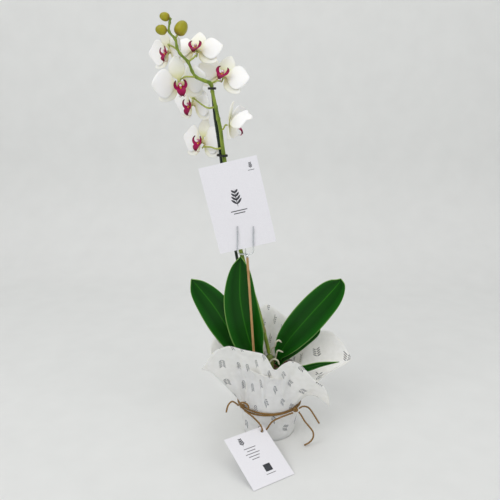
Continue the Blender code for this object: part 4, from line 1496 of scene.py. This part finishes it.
@dataclass
class Supports:
    """The coated stake, its two clips and the bamboo stick of the gift card."""

    stake: tuple[Point, ...] = (
        (-15, 11, 34), (-24, 11, 112), (-30, 10, 153), (-58, 8, 327), (-73, -2, 425),
        (-81.8, -12.5, 500),
        (-85.8, -14.5, 531), (-89, -17, 556), (-92.8, -22, 604))
    stake_radius: float = 2.5
    stick: tuple[Point, ...] = ((-21.3, -18, 50), (-39, -37, 333))
    stick_radius: float = 2.0
    clips: tuple[tuple[str, float], ...] = (("stem_clip_lower", 494.0), ("stem_clip_upper", 596.0))
    wire: float = 1.1
    wire_lift: float = 0.7
    bore: float = 4.2
    stake_steps: int = 120
    stick_steps: int = 40

    def at_height(self, path: Sequence[Vector], height: float) -> Vector:
        """Where a rising path passes a height.

        Args:
            path: The path's points.
            height: A height, in millimetres.

        Returns:
            The place on it.
        """
        for low, high in zip(path, path[1:]):
            if low.z <= height <= high.z:
                return low.lerp(high, (height - low.z) / (high.z - low.z))
        return path[-1]

    def clip(self, name: str, height: float, stem: Sequence[Vector],
             stake: Sequence[Vector]) -> bpy.types.Object:
        """A moulded loop round stem and stake with the ears that open it.

        Args:
            name: The object's name.
            height: The clip's height.
            stem: The stem's middle line.
            stake: The stake's middle line.

        Returns:
            The clip.
        """
        here, there = self.at_height(stem, height), self.at_height(stake, height)
        across = (here - there).normalized()
        side = across.cross(Vector((0, 0, 1))).normalized()
        reach = self.bore + self.wire
        loop = []
        for middle, start in ((here, -90), (there, 90)):
            for step in range(19):
                angle = math.radians(start + 10 * step)
                loop.append(middle + (across * math.cos(angle) + side * math.sin(angle)) * reach)
        strands = []
        for lift in (-self.wire_lift, self.wire_lift):
            strands.append(([point + Vector((0, 0, lift)) for point in loop], [self.wire] * len(loop)))
        return TUBES.sweep(f"{name}_loop", strands, Surface.CLIP, sides=10, closed=True)

    def build(self, spike: FlowerSpike) -> None:
        """Make the stake, the clips and the stick.

        Args:
            spike: The flower spike that the clips hold.
        """
        stake = smooth_path(self.stake, self.stake_steps)
        radii = [self.stake_radius * (1.0 + 0.03 * math.sin(index)) for index in range(len(stake) - 1)]
        settle(TUBES.sweep("stake_rod", [(stake, [*radii, 1.2])], Surface.STAKE, sides=16),
               "stake_plastic",
               "stake")
        stem = smooth_path([point for point, _ in spike.axis], spike.steps)
        for name, height in self.clips:
            settle(self.clip(name, height, stem, stake), "clip_plastic", name)
        low, high = map(Vector, self.stick)
        stick = [low.lerp(high, step / self.stick_steps) for step in range(self.stick_steps + 1)]
        radii = [self.stick_radius * (1.0 + 0.06 * (step % 14 == 9)) for step in range(len(stick))]
        settle(TUBES.sweep("bamboo_stick", [(stick, radii)], Surface.BAMBOO, sides=14), "bamboo",
               "card_stick")


# --------------------------------------------------------------- tissue, twine


@dataclass
class TissueWrap:
    """Two sheets of printed tissue lifted round the pot, pinched at the tie and open above it."""

    foot: float = 1.7
    pot_height: float = 115.0
    pot_top: float = 58.0
    pot_base: float = 43.0
    tissue: float = 0.3
    tie: float = 60.0
    power: float = 1.2
    pleats: int = 22
    valleys: tuple[tuple[float, float, float], ...] = (
        (-86.0, 9.0, 7.0), (-62.0, 6.0, 5.0), (-112.0, 5.0, 6.0), (-130.0, 5.0, 5.0), (-45.0, 6.0, 4.0),
        (-74.0, 4.0, 3.5), (30.0, 7.0, 8.0), (80.0, 7.0, 8.0), (140.0, 7.0, 8.0), (-165.0, 6.0, 6.0))
    pleat_depth: float = 2.8
    softness: float = 3.0
    curl: float = 3.0
    curl_start: float = 0.86
    curl_share: float = 0.14
    swirl: float = 5.0
    around: int = 288
    rows: int = 30
    outer: tuple[Point, ...] = (
        (-152, 125, 150, 0), (-147, 112, 182, 0), (-136, 93, 193, 0), (-114, 82, 189, 0),
        (-97, 80, 184, 0),
        (-86, 74, 150, 0), (-79, 80, 165, 0), (-69, 86, 175, 0), (-57, 90, 163, 0), (-47, 104, 134, 0),
        (-39, 118, 120, 8), (-33, 116, 78, 20), (-22, 98, 74, 16), (-8, 84, 70, 6), (12, 88, 76, 2),
        (40, 84, 100, 0), (70, 84, 130, 0), (100, 86, 138, 0), (132, 90, 130, 0), (165, 104, 120, 0),
        (188, 114, 124, 0))
    inner: tuple[Point, ...] = (
        (-150, 84, 150, 0), (-120, 70, 150, 0), (-86, 66, 135, 0), (-60, 68, 130, 0), (-35, 66, 122, 0),
        (-16, 96, 124, 0), (8, 149, 130, 0), (15, 116, 180, 0), (22, 92, 174, 0), (50, 80, 170, 0),
        (67, 79, 186, 0), (93, 83, 208, 0), (118, 84, 182, 0), (145, 90, 165, 0), (162, 100, 166, 0),
        (171, 104, 150, 0), (190, 96, 140, 0))

    def pot_radius(self, height: float) -> float:
        """Outer radius of the pot's wall at a height."""
        share = (height - self.foot) / (self.pot_height - self.foot)
        return self.pot_base + (self.pot_top - self.pot_base) * share

    def edge(self, keys: Sequence[Sequence[float]], azimuth: float) -> list[float]:
        """Radius, height and arch of a sheet's edge at an azimuth, rounded over a few degrees.

        Args:
            keys: The edge's keys, each azimuth, radius, height and arch.
            azimuth: The way from the middle, in degrees from +X.

        Returns:
            Radius, height and arch.
        """
        turn = [*keys, (keys[0][0] + 360, *keys[0][1:])]
        total = [0.0, 0.0, 0.0]
        for shift in (-3.0, -1.5, 0.0, 1.5, 3.0):
            at = (azimuth + shift - keys[0][0]) % 360 + keys[0][0]
            for low, high in zip(turn, turn[1:]):
                if low[0] <= at <= high[0]:
                    share = (at - low[0]) / (high[0] - low[0])
                    for index in range(3):
                        total[index] += (low[index + 1] + (high[index + 1] - low[index + 1]) * share) / 5
                    break
        return total

    def rib(self, keys: Sequence[Sequence[float]], clearance: float, foot: float,
            azimuth: float) -> list[tuple[float, float]]:
        """One line of the sheet from the middle of its bottom to its edge, as radius and height.

        Args:
            keys: The edge's keys, each azimuth, radius, height and arch.
            clearance: Gap between the pot and the sheet.
            foot: Height of the sheet's bottom.
            azimuth: The way from the middle, in degrees from +X.

        Returns:
            The line's points from the middle outwards.
        """
        radius, height, arch = self.edge(keys, azimuth)
        angle = math.radians(azimuth)
        fold = math.cos(self.pleats * angle + 1.5 * math.sin(3 * angle))
        line = [(self.pot_radius(0) * step / 5 + clearance * step / 5, foot) for step in range(1, 6)]
        for step in range(1, 9):
            up = self.tie * step / 8
            gather = 0.5 * (step / 8) ** 2 * (fold + 1)
            line.append((self.pot_radius(up) + clearance + gather, max(up, foot)))
        start = line[-1][0]
        for row in range(1, self.rows + 1):
            share = row / self.rows
            out = start + (radius - start) * share ** self.power
            up = self.tie + (height - self.tie) * share + arch * math.sin(math.pi * share)
            rise = math.sin(math.pi * min(1.0, 1.25 * share))
            pleat = self.pleat_depth * fold * rise * (1 - 0.5 * share)
            spot = (4 * math.cos(angle), 4 * math.sin(angle), 3 * share)
            soft = self.softness * share * ripple(spot, 0.9, clearance)
            curl = self.curl * max(0.0, (share - self.curl_start) / self.curl_share) ** 2
            lean = azimuth + self.swirl * (1 - share)
            crease = sum(depth * math.exp(-(((lean - at + 180) % 360 - 180) / wide) ** 2)
                         for at, depth, wide in self.valleys) * math.sin(math.pi * share ** 0.8) ** 0.8
            least = self.pot_radius(min(up, self.pot_height)) + clearance + 1.0
            line.append((max(least, out + pleat + soft + curl - crease), up - 0.4 * curl))
        return line

    def sheet(self, name: str, keys: Sequence[Sequence[float]], clearance: float,
              foot: float) -> bpy.types.Object:
        """One sheet with a thickness, and with its flat lay in its own UV map.

        Args:
            name: The object's name.
            keys: The edge's keys, each azimuth, radius, height and arch.
            clearance: Gap between the pot and the sheet.
            foot: Height of the sheet's bottom.

        Returns:
            The sheet.
        """
        cage = bmesh.new()
        layer = cage.loops.layers.uv.new("Sheet")
        flat: dict = {}
        middle = cage.verts.new(mm((0, 0, foot)))
        flat[middle] = (0.0, 0.0)
        ribs = []
        for step in range(self.around):
            azimuth = 360 * step / self.around - 180
            angle = math.radians(azimuth)
            line, along, last = [], 0.0, (0.0, foot)
            for out, up in self.rib(keys, clearance, foot, azimuth):
                along += math.hypot(out - last[0], up - last[1])
                last = (out, up)
                vert = cage.verts.new(mm((out * math.cos(angle), out * math.sin(angle), up)))
                flat[vert] = (along * MM * math.cos(angle), along * MM * math.sin(angle))
                line.append(vert)
            ribs.append(line)
        for this, after in zip(ribs, ribs[1:] + ribs[:1]):
            cage.faces.new((middle, after[0], this[0]))
            for row in range(len(this) - 1):
                cage.faces.new((this[row], after[row], after[row + 1], this[row + 1]))
        for face in cage.faces:
            face.smooth = True
            for loop in face.loops:
                loop[layer].uv = flat[loop.vert]
        mesh = bpy.data.meshes.new(name)
        cage.to_mesh(mesh)
        cage.free()
        mesh.materials.append(Surface.TISSUE.get())
        thing = put(name, mesh)
        shell = thing.modifiers.new("Thickness", "SOLIDIFY")
        shell.thickness = self.tissue * MM
        shell.offset = -1.0
        return plain(thing, name)

    def build(self) -> None:
        for name, keys, clearance, foot, side in (
                ("wrap_outer", self.outer, 2.7, 0.0, 0.27), ("wrap_inner", self.inner, 1.4, 0.8, 0.28)):
            sheet = settle(self.sheet(f"{name}_tissue", keys, clearance, foot), "tissue", name)


@dataclass(frozen=True)
class Strand:
    """A free length of twine: its route, its length and what is on its far end."""

    name: str
    route: tuple[Point, ...]
    far_end: str


@dataclass
class TwineTie:
    """Two turns of twine round the pot, two knots and the loose strands."""

    radius: float = 1.5
    tie: float = 60.0
    band_radius: float = 55.8
    knots: tuple[tuple[str, Point], ...] = (
        ("twine_knot_left", (-48.0, -39.5, 66.0)), ("twine_knot_right", (44.0, -44.0, 61.0)))
    strands: tuple[Strand, ...] = (
        Strand("twine_tag_strand",
               ((-44, -45.8, 61), (-36, -54, 59), (-27, -63.5, 56), (-18, -71.5, 50), (-14.3, -73.2, 42),
                (-14.9, -71.6, 36), (-15.8, -68.4, 30), (-11.5, -62, 27), (-5, -58.5, 34),
                (3.5, -58.5, 47),
                (18, -58, 55), (39, -51, 59.5)), "object"),
        Strand("twine_tail_left", ((-54.5, -42, 68), (-60, -45, 75), (-66, -48, 79), (-72, -54, 75),
                                   (-75, -61, 66)), "bare"),
        Strand("twine_tail_long", ((49.5, -46, 58), (54, -46, 51), (60, -48, 41), (68, -51, 32),
                                   (74, -54, 24), (74, -57, 15), (68, -59, 7), (59, -60, 2)), "bare"),
        Strand("twine_tail_short", ((50, -41, 62), (58, -36, 63), (68, -33, 58), (77, -36, 46),
                                    (86, -40, 32)), "bare"),
        Strand("twine_bow", ((-50, -45.5, 70), (-52, -49, 76), (-47, -54, 81), (-40, -56, 79),
                             (-37, -55.5, 72), (-41, -50.5, 67)), "object"))
    turns: tuple[tuple[float, float], ...] = ((-1.2, 0.0), (2.2, 0.2))
    plies: int = 3
    ply_depth: float = 0.16
    turn: float = 11.0
    yarn_step: float = 0.9
    path_step: float = 3.0

    def yarn(self, name: str, paths: Sequence[Sequence[Vector]],
             closed: bool = False) -> bpy.types.Object:
        """Three-ply twine along one or more paths.

        Args:
            name: The object's name.
            paths: Each strand's points.
            closed: Whether each strand is a loop.

        Returns:
            The yarn as one object.
        """
        radius = self.radius / (1 + self.ply_depth / 2)
        strands = [(path, [radius * (1 + 0.05 * ripple(point, 0.2)) for point in path])
                   for path in paths]
        return TUBES.sweep(name, strands, Surface.TWINE, sides=18, plies=self.plies,
                           depth=self.ply_depth,
                           turn=self.turn * MM, closed=closed)

    def ring(self, lift: float, out: float) -> list[Vector]:
        """One turn of twine round the pot.

        Args:
            lift: Its height over the tie.
            out: How much wider it is than the band.

        Returns:
            The loop's points.
        """
        steps = 260
        return [Vector(((self.band_radius + out) * math.cos(math.tau * step / steps),
                        (self.band_radius + out) * math.sin(math.tau * step / steps),
                        self.tie - 2 + lift + math.cos(math.tau * step / steps)
                        + 0.8 * math.sin(3 * math.tau * step / steps + lift))) for step in range(steps)]

    def knot(self, middle: Point) -> list[Vector]:
        """An overhand knot pulled tight.

        Args:
            middle: The knot's middle.

        Returns:
            The closed path's points.
        """
        path = []
        for step in range(90):
            t = math.tau * step / 90
            wide = 2.1 + math.cos(3 * t)
            path.append(Vector(middle) + Vector((wide * math.cos(2 * t) * 1.05, math.sin(3 * t) * 1.3,
                                                 wide * math.sin(2 * t) * 1.05)))
        return path

    def build(self) -> None:
        """Make the twine turns, the knots and the free strands."""
        rings = [self.ring(lift, out) for lift, out in self.turns]
        settle(self.yarn("twine_turns", rings, closed=True), "twine", "twine_band")
        for name, middle in self.knots:
            settle(self.yarn(f"{name}_shape", [self.knot(middle)], closed=True), "twine", name)
        for strand in self.strands:
            line = [point * MM for point in evenly(strand.route, self.path_step)]
            yarn = self.yarn(f"{strand.name}_yarn", [evenly(strand.route, self.yarn_step)])
            piece = settle(yarn, "twine", strand.name)
            tuple(line[0])
            path_length(line)
            [tuple(p) for p in line]


# ----------------------------------------------------------------------- cards


class Print:
    """A generic leafy sprig and plain rules, laid on a card as a film of ink."""

    def __init__(self, lift: float) -> None:
        """Start an empty print that lies this far over the card's middle plane, in millimetres."""
        self.skin = Skin()
        self.lift = lift

    def leaf(self, x: float, y: float, angle: float, length: float, width: float) -> None:
        """A pointed leaf from a point.

        Args:
            x: Where it starts, across the card.
            y: Where it starts, up the card.
            angle: The way it points, in degrees.
            length: Its length.
            width: Its width, in millimetres.
        """
        out = Vector((math.cos(math.radians(angle)), math.sin(math.radians(angle)), 0))
        side = Vector((-out.y, out.x, 0))
        self.skin.add_patch(10, 4, lambda share, across: (
            Vector((x, y, self.lift)) + out * length * share
            + side * width / 2 * across * (math.sin(math.pi * share) ** 0.8 + 0.02)) * MM)

    def rule(self, x: float, y: float, width: float, height: float) -> None:
        """A plain bar."""
        self.skin.add_patch(2, 8, lambda share, across: Vector(
            (x + width / 2 * across, y + height * (share - 0.5), self.lift)) * MM)

    def sprig(self, x: float, y: float, size: float) -> None:
        """A stem with paired leaves.

        Args:
            x: Its place across the card.
            y: Its place up the card.
            size: Its size, in millimetres.
        """
        self.leaf(x, y - size / 2, 90, size, size * 0.05)
        for row in range(4):
            at = y - size * (0.32 - 0.2 * row)
            for side in (-1, 1):
                self.leaf(x, at, 90 - side * 44, size * (0.40 - 0.05 * row), size * 0.11)

    def build(self, name: str, place: Matrix) -> bpy.types.Object:
        """The print as a thin film."""
        return self.skin.build(name, (Surface.INK,), 0.04, place=place)


@dataclass
class Cards:
    """The gift card in its clear clip, and the hang tag."""

    card_size: Point = (92.0, 140.0, 0.6)
    card_middle: Point = (-53.5, -45.0, 419.5)
    card_roll: float = 13.2
    clip_foot: Point = (-42.0, -45.0, 341.0)
    clip_spread: float = 25.0
    clip_reach: float = 45.0
    rod: float = 1.2
    stick_end: Point = (-39.1, -37.2, 335.0)
    tag_size: Point = (78.0, 98.0, 0.6)
    tag_low_left: Point = (-29.0, -179.0, 0.35)
    tag_heading: float = 32.8
    tag_slope: float = 24.1
    hole_inset: float = 8.0
    hole_radius: float = 3.4
    ink_lift: float = 0.03

    def plate(self, name: str, size: Point, place: Matrix,
              hole: tuple[float, float] | None = None) -> bpy.types.Object:
        """A thin flat card and, where asked, its punched hole.

        Args:
            name: The object's name.
            size: Width, height and thickness.
            place: Where its middle lies.
            hole: The hole's middle from the card's middle, or None.

        Returns:
            The card.
        """
        width, height, thick = size
        cage = bmesh.new()
        bmesh.ops.create_grid(cage, x_segments=24, y_segments=36, size=0.5)
        for vert in cage.verts:
            vert.co = Vector((vert.co.x * width, vert.co.y * height, 0)) * MM
        if hole:
            for vert in cage.verts:
                away = Vector((vert.co.x / MM - hole[0], vert.co.y / MM - hole[1], 0))
                if away.length < 1.6 * self.hole_radius:
                    vert.co.x = (hole[0] + away.normalized().x * self.hole_radius) * MM
                    vert.co.y = (hole[1] + away.normalized().y * self.hole_radius) * MM
            middle = Vector((*hole, 0))
            inside = [face for face in cage.faces
                      if (face.calc_center_median() / MM - middle).length < 0.9 * self.hole_radius]
            bmesh.ops.delete(cage, geom=inside, context="FACES")
        mesh = bpy.data.meshes.new(name)
        cage.to_mesh(mesh)
        cage.free()
        mesh.transform(place)
        mesh.materials.append(Surface.CARD.get())
        thing = put(name, mesh)
        shell = thing.modifiers.new("Thickness", "SOLIDIFY")
        shell.thickness = thick * MM
        shell.offset = 0.0
        return plain(thing, name)

    def gift_card(self) -> None:
        """The card and its print."""
        place = (Matrix.Translation(mm(self.card_middle)) @ Matrix.Rotation(math.radians(90), 4, "X")
                 @ Matrix.Rotation(math.radians(self.card_roll), 4, "Z"))
        ink = Print(self.card_size[2] / 2 + self.ink_lift)
        ink.sprig(0, 12, 30)
        ink.rule(0, -8, 26, 1.4)
        ink.rule(0, -12, 18, 1.4)
        ink.sprig(33, 57, 11)
        ink.rule(33, 50, 10, 0.8)
        card = self.plate("gift_card_sheet", self.card_size, place)
        settle(join([card, ink.build("card_print", place)], "gift_card"), "card", "message_card")

    def clip(self) -> None:
        """The clear forked clip that grips the card's lower edge."""
        x, y, z = self.clip_foot
        grip = self.rod + self.card_size[2] / 2 + 0.3
        half, top = self.clip_spread / 2, z + self.clip_reach
        fork = evenly(((x - half, y - grip, top), (x - half, y - grip, z + 20),
                       (x - half, y - grip, z + 6),
                       (x - half + 4, y, z), (x + half - 4, y, z), (x + half, y - grip, z + 6),
                       (x + half, y - grip, z + 20), (x + half, y - grip, top)), 1.5)
        tine = evenly(((x, y, z), (x, y + grip, z + 6), (x, y + grip, top - 12)), 1.5)
        socket = evenly((self.stick_end,
                         tuple(Vector(self.stick_end).lerp(mm(self.clip_foot) / MM, 0.6)),
                         self.clip_foot), 0.5)
        strands = [(fork, [self.rod] * len(fork)), (tine, [self.rod] * len(tine)),
                   (socket, [2.6 - 1.0 * index / len(socket) for index in range(len(socket))])]
        settle(TUBES.sweep("clear_fork", strands, Surface.CLEAR, sides=14), "clear_plastic", "card_clip")

    def tag(self) -> None:
        """The hang tag and its print."""
        width, height, thick = self.tag_size
        place = (Matrix.Translation(mm(self.tag_low_left))
                 @ Matrix.Rotation(math.radians(self.tag_heading), 4, "Z")
                 @ Matrix.Rotation(math.radians(self.tag_slope), 4, "X")
                 @ Matrix.Translation(mm((width / 2, height / 2, thick / 2))))
        ink = Print(thick / 2 + self.ink_lift)
        ink.sprig(-14, 34, 17)
        for row, wide in enumerate((22, 16, 26, 20, 14)):
            ink.rule(-6, 20 - 5.2 * row, wide, 1.1)
        ink.rule(4, -22, 13, 13)
        ink.rule(4, -33, 18, 0.9)
        hole = (width / 2 - self.hole_inset, height / 2 - self.hole_inset)
        tag = self.plate("hang_tag_sheet", self.tag_size, place, hole)
        settle(join([tag, ink.build("tag_print", place)], "hang_tag_printed"), "card", "hang_tag")

    def build(self) -> None:
        """Make the card, its clip and the tag."""
        self.gift_card()
        self.clip()
        self.tag()


# ---------------------------------------------------------------------- studio


@dataclass
class Studio:
    """Pale floor that curves up into a back wall, soft lights and the camera."""

    camera_place: Point = (-0.03462, -0.96677, 0.60411)
    camera_tilt: float = 74.436
    lens: float = 43.2
    wall: float = 1.1
    bend: float = 0.35
    half: float = 3.0
    high: float = 2.6
    drop: float = 0.0004
    front: float = -2.5
    surround: str = "#f6f6f5"
    surround_strength: float = 0.52
    sensor: float = 36.0
    aim: Point = (-0.03, 0.0, 0.3)
    lamps: tuple[tuple[str, Point, float, float], ...] = (
        ("key", (-1.3, -1.5, 2.0), 24.5, 1.6), ("fill", (1.6, -1.3, 1.3), 9.0, 1.6),
        ("top", (0.1, 0.2, 2.4), 10.5, 2.0))

    def backdrop(self) -> None:
        """Floor and wall as one curved sheet."""
        profile = [(self.front, 0.0), (self.wall - self.bend, 0.0)]
        profile += [(self.wall - self.bend + self.bend * math.sin(math.radians(angle)),
                     self.bend * (1 - math.cos(math.radians(angle)))) for angle in range(10, 91, 10)]
        profile.append((self.wall, self.high))
        mesh = bpy.data.meshes.new("backdrop")
        points = [(side, y, z - self.drop) for y, z in profile for side in (-self.half, self.half)]
        faces = [(2 * row, 2 * row + 1, 2 * row + 3, 2 * row + 2) for row in range(len(profile) - 1)]
        mesh.from_pydata(points, [], faces)
        mesh.shade_smooth()
        mesh.materials.append(Surface.PAPER.get())
        put("backdrop", mesh)

    def light(self, name: str, place: Point, power: float, size: float) -> None:
        """A square soft light aimed at the middle of the plant.

        Args:
            name: The lamp's name.
            place: Where it hangs, in metres.
            power: Its power, in watts.
            size: Its width, in metres.
        """
        lamp = bpy.data.lights.new(name, "AREA")
        lamp.energy = power
        lamp.size = size
        thing = put(name, lamp)
        thing.location = place
        aim = Vector(self.aim) - Vector(place)
        thing.rotation_euler = aim.to_track_quat("-Z", "Y").to_euler()

    def build(self) -> None:
        """Make the floor, the lights, the even surround and the camera."""
        self.backdrop()
        for name, place, power, size in self.lamps:
            self.light(name, place, power, size)
        world = bpy.data.worlds.new("even_surround")
        world.use_nodes = True
        background = world.node_tree.nodes["Background"]
        background.inputs["Color"].default_value = colour(self.surround)
        background.inputs["Strength"].default_value = self.surround_strength
        bpy.context.scene.world = world
        bpy.context.scene.view_settings.view_transform = "Standard"
        camera = bpy.data.cameras.new("camera")
        camera.lens = self.lens
        camera.sensor_width = self.sensor
        thing = put("camera", camera)
        thing.location = self.camera_place
        thing.rotation_euler = (math.radians(self.camera_tilt), 0.0, 0.0)
        bpy.context.scene.camera = thing


def main() -> None:
    """Build everything in order."""
    logging.basicConfig(level=logging.INFO, format="%(name)s %(message)s")
    Studio().build()
    TwineTie().build()
    TissueWrap().build()
    PotAndBark().build()
    Foliage().build()
    spike = FlowerSpike()
    spike.build()
    Supports().build(spike)
    head = FlowerHead()
    for bloom in BLOOMS:
        head.build(bloom)
    Cards().build()


if __name__ == "__main__":
    main()
